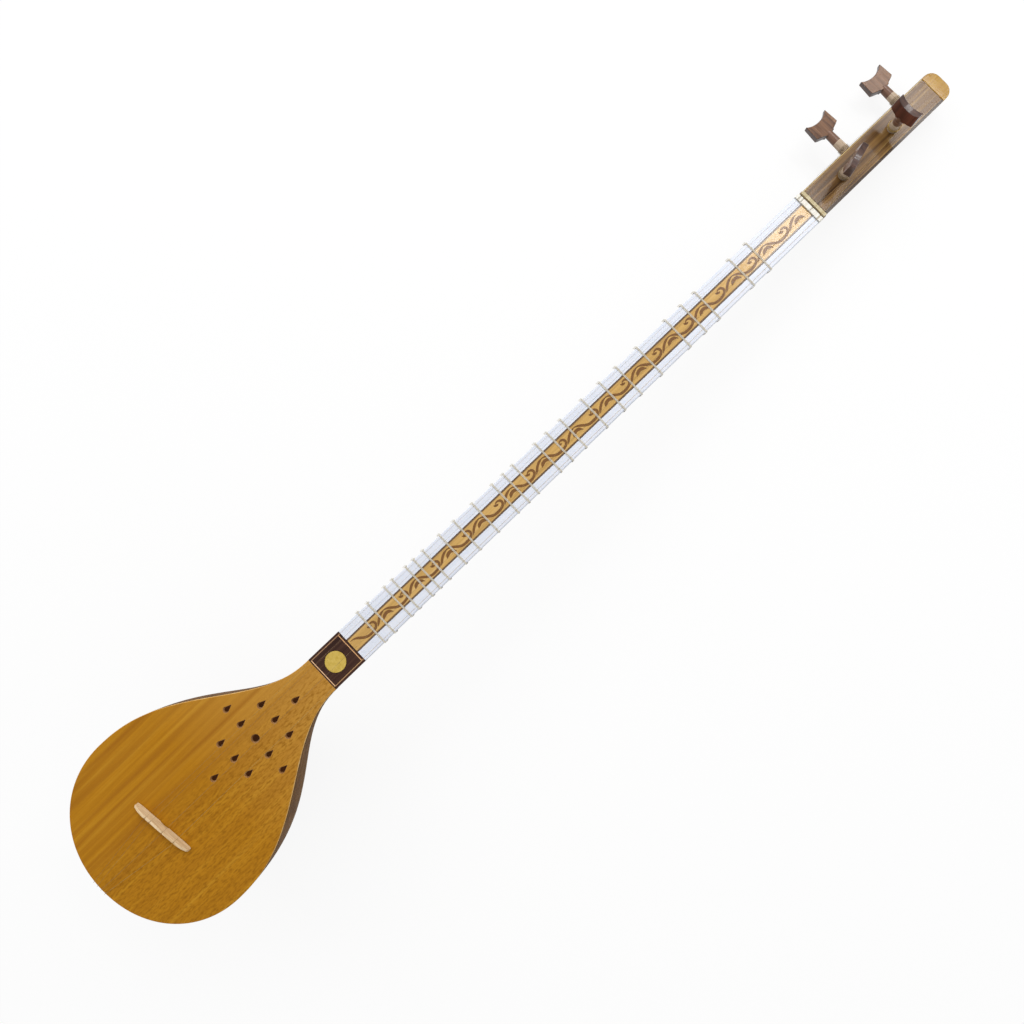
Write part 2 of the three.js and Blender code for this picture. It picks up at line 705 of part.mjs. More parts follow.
// The fishtail head stands up from its waist, with a hollow end between two horns.
// It is thickest at the waist and thins like a wedge towards the horns.
function pegHeadGeometry() {
  const half = PEG_HEAD_WIDTH / 2 - PEG_HEAD_BEVEL;
  const top = PEG_HEAD_HEIGHT - PEG_HEAD_BEVEL;
  const waist = half * PEG_OUTLINE_SHARES.waist;
  const shoulder = top * PEG_OUTLINE_SHARES.shoulder;
  const horn = half * PEG_OUTLINE_SHARES.horn;
  const outline = new THREE.Shape();
  outline.moveTo(-waist, 0);
  outline.lineTo(waist, 0);
  outline.lineTo(half, shoulder);
  outline.lineTo(half, top);
  outline.lineTo(horn, top);
  outline.quadraticCurveTo(0, top * PEG_OUTLINE_SHARES.hollow, -horn, top);
  outline.lineTo(-half, top);
  outline.lineTo(-half, shoulder);
  const thickness = PEG_WAIST_THICKNESS - 2 * PEG_HEAD_BEVEL;
  const plate = new THREE.ExtrudeGeometry(outline, {
    depth: thickness,
    curveSegments: HOLLOW_STEPS,
    bevelThickness: PEG_HEAD_BEVEL,
    bevelSize: PEG_HEAD_BEVEL,
    bevelSegments: 1,
  }).translate(0, 0, -thickness / 2);
  const p = plate.attributes.position;
  for (let i = 0; i < p.count; i++) {
    const thinned = lerp(PEG_WAIST_THICKNESS, PEG_HORN_THICKNESS, p.getY(i) / top);
    p.setZ(i, (p.getZ(i) * thinned) / PEG_WAIST_THICKNESS);
  }
  return plate.rotateX(Math.PI / 2);
}

function pegGeometry(through, neck) {
  const rise = PEG_HEAD_HEIGHT * PEG_SHANK_RISE_SHARE;
  const shank = shankGeometry(through, neck + rise, PEG_WAIST_DIAMETER, 0, PEG_TIP_SETBACK, SHANK_SIDES);
  const head = pegHeadGeometry().translate(0, 0, neck);
  return geometryOf(solid(shank).add(solid(head)));
}

// A peg's hole, with overrun at both ends.
function pegHole({ foot, lean, through }) {
  const hole = shankGeometry(through, CUT_OVERRUN, PEG_SHANK_DIAMETER, RUNNING_GAP, -CUT_OVERRUN, HOLE_SIDES);
  return solid(hole.rotateX(lean).translate(...foot));
}

function headstockGeometry() {
  const start = HEAD_START + SEAT_GAP;
  const body = solid(loft([headRing(start, 0), headRing(CAP_START, 0)]));
  const mortise = solid(tenon(HEAD_START, 1, RUNNING_GAP));
  return geometryOf(PEG_PLACES.reduce((rest, place) => rest.subtract(pegHole(place)), body.subtract(mortise)));
}

// The cap closes the headstock, with round corners in plan and at the back.
function capGeometry() {
  const rings = [headRing(CAP_START + SEAT_GAP, 0)];
  const corner = Math.min(CAP_CORNER_RADIUS, CAP_LENGTH - 2 * SEAT_GAP);
  for (let i = 0; i <= CAP_STATIONS; i++) {
    const angle = (i / CAP_STATIONS) * (Math.PI / 2);
    const x = TIP_X - corner + corner * Math.sin(angle);
    rings.push(headRing(x, corner * (1 - Math.cos(angle))));
  }
  return loft(rings);
}

function endStripGeometry() {
  const from = NUT_X + NUT_THICKNESS / 2 + NUT_SLOT;
  return taperedSlab(from, HEAD_START, headHalfWidth, (x) => -headHalfWidth(x));
}

// Strings

const windingRadius = (diameter) => PEG_SHANK_DIAMETER / 2 + SEAT_GAP + diameter / 2;

// A string's windings on its peg, in the peg's own frame, as one unbroken wire.
function windingPoints(diameter) {
  const radius = windingRadius(diameter);
  const start = STRING_REST_HEIGHT + diameter + SEAT_GAP;
  const steps = WINDING_TURNS * TURN_STEPS;
  const points = [];
  for (let i = 0; i <= steps; i++) {
    const turn = i / TURN_STEPS;
    const angle = turn * 2 * Math.PI - Math.PI / 2;
    points.push(
      new THREE.Vector3(radius * Math.cos(angle), radius * Math.sin(angle), start + turn * WINDING_PITCH),
    );
  }
  points.unshift(points[0].clone().add(new THREE.Vector3(-diameter, 0, 0)));
  points.push(points[steps + 1].clone().add(new THREE.Vector3(diameter, 0, 0)));
  return points;
}

// The least clear distance between turns of a winding.
function leastGap(points, diameter) {
  let least = Infinity;
  points.forEach((point, i) => {
    for (let j = i + TURN_STEPS / 2; j < points.length; j++) {
      least = Math.min(least, point.distanceTo(points[j]) - diameter);
    }
  });
  return least;
}

// A string's way from its hook over the tail, the bridge and the nut to its peg.
function stringPoints(index) {
  const diameter = STRING_DIAMETERS[index];
  const clear = SEAT_GAP + diameter / 2;
  const tailY = STRING_TAIL_SHARES[index] * bodyHalfWidth(TAIL_FACE_FROM_TAIL);
  const nutY = (STRING_NUT_SHARES[index] * NUT_LENGTH) / 2;
  const crossing = bridgeCrossings[index];
  const flat = BRIDGE_CREST_WIDTH / 2 + BRIDGE_SLIDE + NOTCH_DEPTH;
  const nutHalf = NUT_THICKNESS / 2 + SEAT_GAP;
  const points = [
    new THREE.Vector3(-clear, tailY, hookHeight() + HOOK_DIAMETER / 2 + SEAT_GAP),
    new THREE.Vector3(-clear, tailY, clear),
    new THREE.Vector3(BRIDGE_FROM_TAIL + crossing.x - flat, crossing.y, STRING_AT_BRIDGE),
    new THREE.Vector3(BRIDGE_FROM_TAIL + crossing.x + flat, crossing.y, STRING_AT_BRIDGE),
    new THREE.Vector3(NUT_X - nutHalf, nutY, STRING_AT_NUT),
    new THREE.Vector3(NUT_X + nutHalf, nutY, STRING_AT_NUT),
  ];
  const { foot, lean } = PEG_PLACES[index];
  const radius = windingRadius(diameter);
  const [x, y, z] = foot;
  if (lean === 0) {
    points.push(new THREE.Vector3(x, y - radius, z + STRING_REST_HEIGHT));
  } else {
    const over = lerp(NUT_X, x, STRING_OVER_SHARE);
    const beside = headHalfWidth(over) + clear + STRING_REST_HEIGHT / 2;
    points.push(new THREE.Vector3(over, beside, clear));
    points.push(new THREE.Vector3(x, y + STRING_REST_HEIGHT, z + radius));
  }
  return points;
}

// Tailpiece

const hookHeight = () => RIM_Z - HOOK_DEPTH_SHARE * bodyDepth(TAIL_FACE_FROM_TAIL);

// The string holder closes the bowl's tail opening in the bowl's own curve, with a hook for each string.
function tailpieceGeometry() {
  const rings = [TAIL_FACE_FROM_TAIL, TAIL_OPENING_FROM_TAIL - SEAT_GAP].map((x) =>
    bowlSection(x).ring(x, RIM_Z, SECTION_STEPS),
  );
  const hooks = STRING_TAIL_SHARES.map((share) => {
    const y = share * bodyHalfWidth(TAIL_FACE_FROM_TAIL);
    const length = HOOK_LENGTH + (TAIL_OPENING_FROM_TAIL - TAIL_FACE_FROM_TAIL) / 2;
    const hook = new THREE.CylinderGeometry(HOOK_DIAMETER / 2, HOOK_DIAMETER / 2, length, SHANK_SIDES);
    hook.rotateZ(Math.PI / 2).translate(TAIL_FACE_FROM_TAIL - HOOK_LENGTH + length / 2, y, hookHeight());
    return solid(hook);
  });
  return geometryOf(hooks.reduce((joined, hook) => joined.add(hook), solid(loft(rings))));
}

// Assembly

const instrument = new THREE.Group();

instrument.add(part("soundboard", soundboardGeometry(), MULBERRY));
for (let i = 0; i < RIB_COUNT; i++) {
  instrument.add(part(`rib_${i + 1}`, ribGeometry(i), BOWL_WOOD));
}
instrument.add(
  part("tail_block", tailBlockGeometry(), INNER_WOOD),
  part("neck_block", neckBlockGeometry(), INNER_WOOD),
  part("soundboard_brace", braceGeometry(), INNER_WOOD),
  part("tailpiece", tailpieceGeometry(), BONE),
  part("neck_shaft", neckShaftGeometry(), WALNUT),
  part("fingerboard_strip", centreStripGeometry(), GOLDEN_STRIP),
  part("bone_strip_left", boneStripGeometry(1), BONE),
  part("bone_strip_right", boneStripGeometry(-1), BONE),
  part("joint_plate", plateGeometry(), DARK_PLATE),
  part("plate_disc", slab(new THREE.Shape(discOutline(DISC_DIAMETER)), 0, STRIP_THICKNESS), GOLDEN_DISC),
  part("pegbox_end_strip", endStripGeometry(), CREAM_BONE),
  part("headstock", headstockGeometry(), WALNUT),
  part("headstock_cap", capGeometry(), CAP_YELLOW),
);

const nut = part("nut", nutGeometry(), BONE);
nut.position.set(NUT_X, 0, 0);
instrument.add(nut);

const bridge = part("bridge", bridgeGeometry(), BRIDGE_WOOD);
bridge.position.set(BRIDGE_FROM_TAIL, 0, SEAT_GAP);
instrument.add(bridge);

FRET_CENTS.forEach((cents, i) => {
  const x = fretPlace(cents);
  const fret = part(`fret_${String(i + 1).padStart(2, "0")}`, fretGeometry(x), GUT);
  fret.position.set(x, 0, 0);
  instrument.add(fret);
});

PEG_PLACES.forEach(({ name, foot, lean, through, neck, turn }, i) => {
  const axis = new THREE.Group();
  axis.position.set(...foot);
  axis.rotation.x = lean;
  const peg = part(name, pegGeometry(through, neck), PEG_WOOD);
  peg.rotation.z = THREE.MathUtils.degToRad(turn);
  const diameter = STRING_DIAMETERS[i];
  const metal = diameter === LARGEST_STRING ? BRASS : STEEL;
  const turns = windingPoints(diameter);
  console.log(`winding ${i + 1}: least gap to itself ${leastGap(turns, diameter).toFixed(2)} mm`);
  axis.add(peg, part(`string_winding_${i + 1}`, wire(turns, diameter), metal));
  instrument.add(axis);
  instrument.add(part(`string_${i + 1}`, wire(stringPoints(i), diameter), metal));
});

// The setar lies on its back: on the bowl's keel and on the back of the headstock's tip.
function restTilt() {
  const drop = (x, depth, tilt) => x * Math.sin(tilt) + depth * Math.cos(tilt);
  let flat = 0;
  let steep = THREE.MathUtils.degToRad(STEEPEST_TILT_DEG);
  for (let i = 0; i < TILT_TRIALS; i++) {
    const tilt = (flat + steep) / 2;
    const bowl = Math.max(...BOWL_STATIONS.map((x) => drop(x, bodyDepth(x) - RIM_Z, tilt)));
    if (drop(CAP_START, headDepth(CAP_START), tilt) < bowl) {
      flat = tilt;
    } else {
      steep = tilt;
    }
  }
  return flat;
}

instrument.rotation.y = restTilt();
const setar = new THREE.Group();
setar.add(instrument);
setar.updateMatrixWorld(true);
const box = new THREE.Box3().setFromObject(setar, true);
const centre = box.getCenter(new THREE.Vector3());
instrument.position.set(-centre.x, -centre.y, -box.min.z);

export default setar;
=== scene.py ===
"""A setar lying on its back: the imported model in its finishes, with the pieces that the eye needs.

Lengths are millimetres in the instrument's own frame: x from the tail to the headstock's tip,
y to the side pegs' heads, and z = 0 at the playing face. Each piece is built there and then
placed in the model's frame, so its object stays at the origin.
"""

from __future__ import annotations

import json
import logging
import math
from dataclasses import dataclass
from enum import Enum
from typing import Any, Iterable, Sequence

import bmesh
import bpy
from mathutils import Euler, Matrix, Vector
from mathutils.geometry import interpolate_bezier

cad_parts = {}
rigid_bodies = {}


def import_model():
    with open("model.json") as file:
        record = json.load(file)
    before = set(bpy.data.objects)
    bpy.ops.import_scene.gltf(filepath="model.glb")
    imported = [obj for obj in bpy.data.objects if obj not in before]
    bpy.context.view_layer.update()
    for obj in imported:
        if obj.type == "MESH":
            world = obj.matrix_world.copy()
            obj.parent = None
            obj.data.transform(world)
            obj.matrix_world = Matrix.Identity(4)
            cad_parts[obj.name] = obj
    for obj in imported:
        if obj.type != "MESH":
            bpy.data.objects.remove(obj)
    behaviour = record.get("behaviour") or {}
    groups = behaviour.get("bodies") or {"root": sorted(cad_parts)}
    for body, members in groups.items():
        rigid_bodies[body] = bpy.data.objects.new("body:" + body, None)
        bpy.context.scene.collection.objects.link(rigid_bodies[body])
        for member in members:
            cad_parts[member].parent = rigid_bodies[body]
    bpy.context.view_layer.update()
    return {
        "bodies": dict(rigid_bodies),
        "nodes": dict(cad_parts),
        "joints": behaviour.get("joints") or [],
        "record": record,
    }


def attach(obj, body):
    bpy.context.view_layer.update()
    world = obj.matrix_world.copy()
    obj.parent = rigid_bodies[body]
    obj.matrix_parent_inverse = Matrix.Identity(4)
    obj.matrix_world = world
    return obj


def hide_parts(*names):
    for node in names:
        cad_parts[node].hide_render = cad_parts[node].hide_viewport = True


LOG = logging.getLogger("setar")
MM = 0.001

# The sizes that several sub-assemblies or finishes share
BOARD_LENGTH = 227.0
PLATE_END = 257.0
NUT_X = 723.5
HEAD_START = 730.05
HEAD_LENGTH = 137.0
TIP_X = NUT_X + HEAD_LENGTH
HEEL_WIDTH = 29.8
HEEL_DEPTH = 27.0
NUT_WIDTH = 25.7
HEAD_START_WIDTH = 24.4
HEAD_TIP_WIDTH = 23.0
FACE_THICKNESS = 2.0
SEAT_GAP = 0.3
FRONT_PEG_SHARES = (0.258, 0.622)
SIDE_PEG_SHARES = (0.407, 0.796)

# How finely sections are drawn, and how near points lie that are one point
SECTION_STEPS = 400
COPY_MERGE_GAP = 0.002
DRAWN_MERGE_GAP = 0.0005

Point = tuple[float, float]
Place = tuple[float, float, float]
Shape = bmesh.types.BMesh
Socket = bpy.types.NodeSocket


def linear(hex_colour: str) -> tuple[float, float, float, float]:
    """Turns an sRGB hex colour to linear.

    Args:
        hex_colour: Six hex digits, such as "a87218".

    Returns:
        Red, green, blue and alpha for a shader socket.
    """
    values = [int(hex_colour[i : i + 2], 16) / 255 for i in (0, 2, 4)]
    parts = [v / 12.92 if v <= 0.04045 else ((v + 0.055) / 1.055) ** 2.4 for v in values]
    return (parts[0], parts[1], parts[2], 1.0)


def mixed(low: float, high: float, share: float) -> float:
    """Returns the value a share of the way from low to high."""
    return low + (high - low) * share


@dataclass(frozen=True)
class Space:
    """Where the instrument's own frame lies in the model's frame.

    Attributes:
        origin: The tail end of the playing face, in metres.
        tilt: The instrument's turn about the model's Y axis, in radians.
    """

    origin: Vector
    tilt: float

    @classmethod
    def of(cls, joints: list[dict[str, Any]]) -> Space:
        """Reads the frame from the bridge's slide and the first front peg.

        Args:
            joints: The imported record's joints.

        Returns:
            The instrument's frame.
        """
        along = Vector(next(j["axis"] for j in joints if j["name"] == "bridge_slide")).normalized()
        peg = Vector(next(j["pos_m"] for j in joints if j["name"] == "peg_front_1_turn"))
        peg_x = NUT_X + FRONT_PEG_SHARES[0] * HEAD_LENGTH
        return cls(peg - along * peg_x * MM, math.atan2(-along.z, along.x))

    def matrix(self) -> Matrix:
        """Returns the matrix from the instrument's millimetres to the model's metres."""
        turn = Euler((0, self.tilt, 0)).to_matrix().to_4x4()
        return Matrix.Translation(self.origin) @ turn @ Matrix.Scale(MM, 4)


class Nodes:
    """The nodes of a material or a world, from an empty tree on."""

    def __init__(self, tree: bpy.types.NodeTree) -> None:
        """Empties the tree."""
        self.tree = tree
        tree.nodes.clear()

    def add(
        self,
        kind: str,
        settings: dict[str | int, Any] | None = None,
        links: dict[str | int, Socket] | None = None,
    ) -> bpy.types.Node:
        """Adds a node.

        Args:
            kind: The node's class name.
            settings: Values of its properties and inputs. "stops" holds a ramp's places and colours.
            links: The socket that feeds each linked input.

        Returns:
            The node.
        """
        node = self.tree.nodes.new(kind)
        for key, value in (settings or {}).items():
            if key == "stops":
                elements = node.color_ramp.elements
                while len(elements) < len(value):
                    elements.new(0.5)
                for element, (position, colour) in zip(elements, value):
                    element.position = position
                    element.color = linear(colour)
            elif isinstance(key, int) or key in node.inputs:
                node.inputs[key].default_value = value
            else:
                setattr(node, key, value)
        self.link(node, links or {})
        return node

    def link(self, node: bpy.types.Node, links: dict[str | int, Socket]) -> None:
        """Feeds a node's inputs from sockets."""
        for key, socket in links.items():
            self.tree.links.new(socket, node.inputs[key])


class Sheet(Nodes):
    """A new material's nodes, on coordinates in the instrument's millimetres."""

    def __init__(self, name: str, space: Space, values: dict[str | int, Any]) -> None:
        """Starts the material.

        Args:
            name: The finish's name.
            space: The instrument's frame.
            values: What the shader has all over the surface.
        """
        self.material = bpy.data.materials.new(name)
        self.material.use_nodes = True
        super().__init__(self.material.node_tree)
        self.shader = self.add("ShaderNodeBsdfPrincipled", values)
        self.add("ShaderNodeOutputMaterial", links={"Surface": self.shader.outputs[0]})
        raw = self.add("ShaderNodeTexCoord").outputs["Object"]
        turned = {
            "vector_type": "TEXTURE",
            "Location": space.origin,
            "Rotation": (0, space.tilt, 0),
            "Scale": (MM, MM, MM),
        }
        self.place = self.add("ShaderNodeMapping", turned, {"Vector": raw}).outputs[0]


@dataclass(frozen=True)
class Finish:
    """A material as it was worked: tones laid in a pattern, and what the shader has all over.

    Attributes:
        name: What the real one is.
        base: The main colour.
        dark: The colour of the late wood and pores, of the vessels or of the mottle.
    """

    name: str
    base: str
    dark: str

    def values(self) -> dict[str | int, Any]:
        """Returns what the shader has all over the surface."""
        raise NotImplementedError

    def colour(self, sheet: Sheet) -> Socket:
        """Lays the tones, and links the relief that goes with them.

        Args:
            sheet: The material's nodes.

        Returns:
            The socket of the colour.
        """
        raise NotImplementedError

    def material(self, space: Space) -> bpy.types.Material:
        """Builds the finish.

        Args:
            space: The instrument's frame.

        Returns:
            The material.
        """
        sheet = Sheet(self.name, space, self.values())
        sheet.link(sheet.shader, {"Base Color": self.colour(sheet)})
        return sheet.material


class Grain(Enum):
    """Which way a wood's fibres run, as the stretch of its pattern in x, y and z."""

    ALONG_NECK = (0.025, 1.0, 1.0)
    ACROSS = (1.0, 0.04, 1.0)
    UPRIGHT = (1.0, 1.0, 0.04)


@dataclass(frozen=True)
class Wood(Finish):
    """A planed and varnished wood: bands of growth, fine fibres and open pores.

    Attributes:
        pale: The colour of the early wood.
        grain: Which way the fibres run.
        band_mm: The spacing of the bands of growth.
        fibre_mm: The spacing of the fibres, drawn as coarse as the picture needs.
        roughness: The varnish's roughness.
        coat: The weight of the varnish's clear coat.
        coat_roughness: How dull the clear coat is.
        specular: How strongly the bare surface shines, 0.5 for a polished one.
        relief_mm: How deep the fibres are felt.
        glow: The strength of a painted glow in the wood's darker tone, for the light that has already bounced
            about a closed space.
    """

    pale: str
    grain: Grain = Grain.ALONG_NECK
    band_mm: float = 6.0
    fibre_mm: float = 0.9
    roughness: float = 0.45
    coat: float = 0.15
    coat_roughness: float = 0.15
    specular: float = 0.25
    relief_mm: float = 0.03
    glow: float = 0.0

    def values(self) -> dict[str | int, Any]:
        """Sets the varnish's coat and shine, and the glow.

        Returns:
            What the shader has all over the surface.
        """
        return {
            "Coat Weight": self.coat,
            "Coat Roughness": self.coat_roughness,
            "Specular IOR Level": self.specular,
            "Emission Color": linear(self.dark),
            "Emission Strength": self.glow,
        }

    def colour(self, sheet: Sheet) -> Socket:
        """Lays bands and fibres, and links the fibres' roughness and relief.

        Args:
            sheet: The material's nodes.

        Returns:
            The socket of the wood's colour.
        """
        laid = sheet.add("ShaderNodeMapping", {"Scale": self.grain.value}, {"Vector": sheet.place}).outputs[0]
        bands = sheet.add(
            "ShaderNodeTexNoise",
            {"Scale": 1 / self.band_mm, "Detail": 3.0, "Roughness": 0.55, "Distortion": 0.3},
            {"Vector": laid},
        )
        tone = sheet.add(
            "ShaderNodeValToRGB",
            {"stops": ((0.3, self.dark), (0.5, self.base), (0.72, self.pale))},
            {"Fac": bands.outputs["Fac"]},
        )
        fibres = sheet.add(
            "ShaderNodeTexNoise",
            {"Scale": 1 / self.fibre_mm, "Detail": 2.0, "Roughness": 0.6},
            {"Vector": laid},
        ).outputs["Fac"]
        depth = sheet.add(
            "ShaderNodeMapRange",
            {"From Min": 0.36, "From Max": 0.56, "To Min": 0.4, "To Max": 0.0},
            {"Value": fibres},
        )
        gloss = sheet.add(
            "ShaderNodeMapRange",
            {
                "From Min": 0.3,
                "From Max": 0.7,
                "To Min": self.roughness + 0.12,
                "To Max": self.roughness - 0.05,
            },
            {"Value": fibres},
        )
        relief = {"Strength": 0.35, "Distance": self.relief_mm * MM}
        bump = sheet.add("ShaderNodeBump", relief, {"Height": fibres})
        sheet.link(sheet.shader, {"Roughness": gloss.outputs[0], "Normal": bump.outputs[0]})
        return sheet.add(
            "ShaderNodeMix",
            {"data_type": "RGBA", 7: linear(self.dark)},
            {0: depth.outputs[0], 6: tone.outputs["Color"]},
        ).outputs[2]


@dataclass(frozen=True)
class Figure:
    """A darker figure in a soundboard's wood, strong on one half of the board and weak on the other.

    Attributes:
        colour: The figure's colour.
        pitch_mm: Its spacing.
        stretch: Its stretch in x, y and z.
        turn: How far it is turned in the board's plane, in radians.
        strength: How strong it is at most.
        band: The y over which its share changes.
        shares: Its share on the -y side of that band and on the +y side.
    """

    colour: str
    pitch_mm: float
    stretch: Place
    turn: float
    strength: float
    band: Point
    shares: Point

    def laid_on(self, ground: Socket, across: Socket, sheet: Sheet) -> Socket:
        """Lays the figure over a colour.

        Args:
            ground: The colour below.
            across: The place across the board.
            sheet: The material's nodes.

        Returns:
            The socket of the figured colour.
        """
        share = sheet.add(
            "ShaderNodeMapRange",
            {
                "From Min": self.band[0],
                "From Max": self.band[1],
                "To Min": self.shares[0],
                "To Max": self.shares[1],
            },
            {"Value": across},
        )
        turned = {"Scale": self.stretch, "Rotation": (0, 0, self.turn)}
        noise = sheet.add(
            "ShaderNodeTexNoise",
            {"Scale": 1 / self.pitch_mm, "Detail": 2.0, "Roughness": 0.5, "Distortion": 0.15},
            {"Vector": sheet.add("ShaderNodeMapping", turned, {"Vector": sheet.place}).outputs[0]},
        )
        depth = sheet.add(
            "ShaderNodeMapRange",
            {"From Min": 0.45, "From Max": 0.7, "To Max": self.strength},
            {"Value": noise.outputs["Fac"]},
        )
        kept = sheet.add(
            "ShaderNodeMath", {"operation": "MULTIPLY"}, {0: depth.outputs[0], 1: share.outputs[0]}
        )
        return sheet.add(
            "ShaderNodeMix", {"data_type": "RGBA", 7: linear(self.colour)}, {0: kept.outputs[0], 6: ground}
        ).outputs[2]


@dataclass(frozen=True)
class BoardWood(Wood):
    """Quarter-sawn mulberry for a soundboard: soft streaks on one half, a fine ripple on the other, and a
    paler end towards the neck that is painted light falling from the head's side.

    Attributes:
        lit_neck_end: The paler colour the board takes towards the neck.
        light_span: The x over which it takes that colour.
        light_share: How far it takes it.
        figures: The streaks and the ripple.
    """

    # The paler neck end is painted light: the board brightens towards the head, where the light comes from.
    lit_neck_end: str = "b98940"
    light_span: Point = (110.0, 225.0)
    light_share: float = 0.75
    figures: tuple[Figure, ...] = (
        Figure("8f5814", 9.0, (0.03, 1.0, 1.0), 0.045, 0.85, (-14.0, 16.0), (0.25, 1.0)),
        Figure("86560a", 1.4, (0.32, 1.0, 1.0), 0.03, 0.75, (-8.0, 20.0), (1.0, 0.12)),
    )

    def colour(self, sheet: Sheet) -> Socket:
        """Adds the paler neck end as painted light, the streaks of the side-peg half and the ripple of the
        other half.

        Args:
            sheet: The material's nodes.

        Returns:
            The socket of the board's colour.
        """
        parts = sheet.add("ShaderNodeSeparateXYZ", links={0: sheet.place})
        # Painted light: the board grows paler towards the neck.
        painted_light_share = sheet.add(
            "ShaderNodeMapRange",
            {"From Min": self.light_span[0], "From Max": self.light_span[1], "To Max": self.light_share},
            {"Value": parts.outputs["X"]},
        )
        colour = sheet.add(
            "ShaderNodeMix",
            {"data_type": "RGBA", 7: linear(self.lit_neck_end)},
            {0: painted_light_share.outputs[0], 6: super().colour(sheet)},
        ).outputs[2]
        for figure in self.figures:
            colour = figure.laid_on(colour, parts.outputs["Y"], sheet)
        return colour


class Run(Enum):
    """Where an inlaid line runs, and what its place is measured from."""

    ACROSS = "across the neck, from the tail"
    EDGES = "along both edges, from the nearer one"
    LEFT = "along the edge at +y, from it"
    RIGHT = "along the edge at -y, from it"


@dataclass(frozen=True)
class Inlay:
    """One inlaid line on a flat face.

    Attributes:
        colour: The line's colour.
        run: Where it runs.
        place: How far its middle lies from there.
        width: Its width.
    """

    colour: str
    run: Run
    place: float
    width: float


@dataclass(frozen=True)
class InlaidWood(Wood):
    """A wood whose face carries inlaid lines, across it or along its tapered edges.

    Attributes:
        lines: The inlaid lines.
        edge_start: The x and half width where the face begins.
        edge_end: The x and half width where the face ends.
        face_level: The z above which the surface is the face.
    """

    lines: tuple[Inlay, ...] = ()
    edge_start: Point = (0.0, 10.0)
    edge_end: Point = (1.0, 10.0)
    face_level: float = -0.25

    def colour(self, sheet: Sheet) -> Socket:
        """Lays the lines over the wood, and the coat over its face alone.

        Args:
            sheet: The material's nodes.

        Returns:
            The socket of the inlaid wood's colour.
        """
        colour = super().colour(sheet)
        x, y, z = sheet.add("ShaderNodeSeparateXYZ", links={0: sheet.place}).outputs
        slope = (self.edge_end[1] - self.edge_start[1]) / (self.edge_end[0] - self.edge_start[0])
        offset = self.edge_start[1] - slope * self.edge_start[0]
        edge = sheet.add("ShaderNodeMath", {"operation": "MULTIPLY_ADD", 1: slope, 2: offset}, {0: x})
        mirrored = sheet.add("ShaderNodeMath", {"operation": "ABSOLUTE"}, {0: y}).outputs[0]
        measured = {Run.ACROSS: x}
        for run, operation, across in (
            (Run.EDGES, "SUBTRACT", mirrored),
            (Run.LEFT, "SUBTRACT", y),
            (Run.RIGHT, "ADD", y),
        ):
            from_edge = sheet.add("ShaderNodeMath", {"operation": operation}, {0: edge.outputs[0], 1: across})
            measured[run] = from_edge.outputs[0]
        above = {"operation": "GREATER_THAN", 1: self.face_level}
        on_face = sheet.add("ShaderNodeMath", above, {0: z}).outputs[0]
        if self.coat:
            coat = sheet.add("ShaderNodeMath", {"operation": "MULTIPLY", 1: self.coat}, {0: on_face})
            sheet.link(sheet.shader, {"Coat Weight": coat.outputs[0]})
        for line in self.lines:
            near = {"operation": "COMPARE", 1: line.place, 2: line.width / 2}
            hit = sheet.add("ShaderNodeMath", near, {0: measured[line.run]})
            seen = sheet.add("ShaderNodeMath", {"operation": "MULTIPLY"}, {0: hit.outputs[0], 1: on_face})
            tone = {"data_type": "RGBA", 7: linear(line.colour)}
            colour = sheet.add("ShaderNodeMix", tone, {0: seen.outputs[0], 6: colour}).outputs[2]
        return colour


@dataclass(frozen=True)
class Mottled(Finish):
    """A finish of two close tones: gut, metal wire, a plain disc or burned lines.

    Attributes:
        mottle_mm: The size of the mottle.
        stretch: The mottle's stretch in x, y and z.
        limits: Where in the mottle the darker tone ends and the main one begins.
        roughness: The surface's roughness.
        metallic: 1 for metal.
        specular: How strongly the surface shines, 0.5 for a polished one.
        relief_mm: How deep the mottle is felt.
        relief_strength: How strongly it is felt.
        alpha: 1, or less where what lies below shows through.
    """

    mottle_mm: float = 1.0
    stretch: Place = (1.0, 1.0, 1.0)
    limits: Point = (0.35, 0.62)
    roughness: float = 0.5
    metallic: float = 0.0
    specular: float = 0.5
    relief_mm: float = 0.02
    relief_strength: float = 0.4
    alpha: float = 1.0

    def values(self) -> dict[str | int, Any]:
        """Sets the surface's roughness and shine, its metal and how clear it is.

        Returns:
            What the shader has all over the surface.
        """
        return {
            "Roughness": self.roughness,
            "Metallic": self.metallic,
            "Alpha": self.alpha,
            "Specular IOR Level": self.specular,
        }

    def colour(self, sheet: Sheet) -> Socket:
        """Lays the mottle, and links its relief.

        Args:
            sheet: The material's nodes.

        Returns:
            The socket of the mottled colour.
        """
        laid = sheet.add("ShaderNodeMapping", {"Scale": self.stretch}, {"Vector": sheet.place})
        cloud = sheet.add(
            "ShaderNodeTexNoise",
            {"Scale": 1 / self.mottle_mm, "Detail": 3.0, "Roughness": 0.6},
            {"Vector": laid.outputs[0]},
        ).outputs["Fac"]
        relief = {"Strength": self.relief_strength, "Distance": self.relief_mm * MM}
        bump = sheet.add("ShaderNodeBump", relief, {"Height": cloud})
        sheet.link(sheet.shader, {"Normal": bump.outputs[0]})
        stops = ((self.limits[0], self.dark), (self.limits[1], self.base))
        return sheet.add("ShaderNodeValToRGB", {"stops": stops}, {"Fac": cloud}).outputs["Color"]


@dataclass(frozen=True)
class Bone(Mottled):
    """Sawn and polished bone: near white, with faint long vessels and a soft gloss.

    The vessels are drawn coarser than they are, so that they show.
    """

    mottle_mm: float = 1.4
    stretch: Place = (0.03, 1.0, 1.0)
    limits: Point = (0.38, 0.58)
    roughness: float = 0.3
    specular: float = 0.35
    relief_mm: float = 0.01
    relief_strength: float = 0.1

    def values(self) -> dict[str | int, Any]:
        """Returns the surface's values, with the little light that goes into the bone."""
        return super().values() | {"Subsurface Weight": 0.08, "Subsurface Radius": (0.001, 0.0008, 0.0006)}


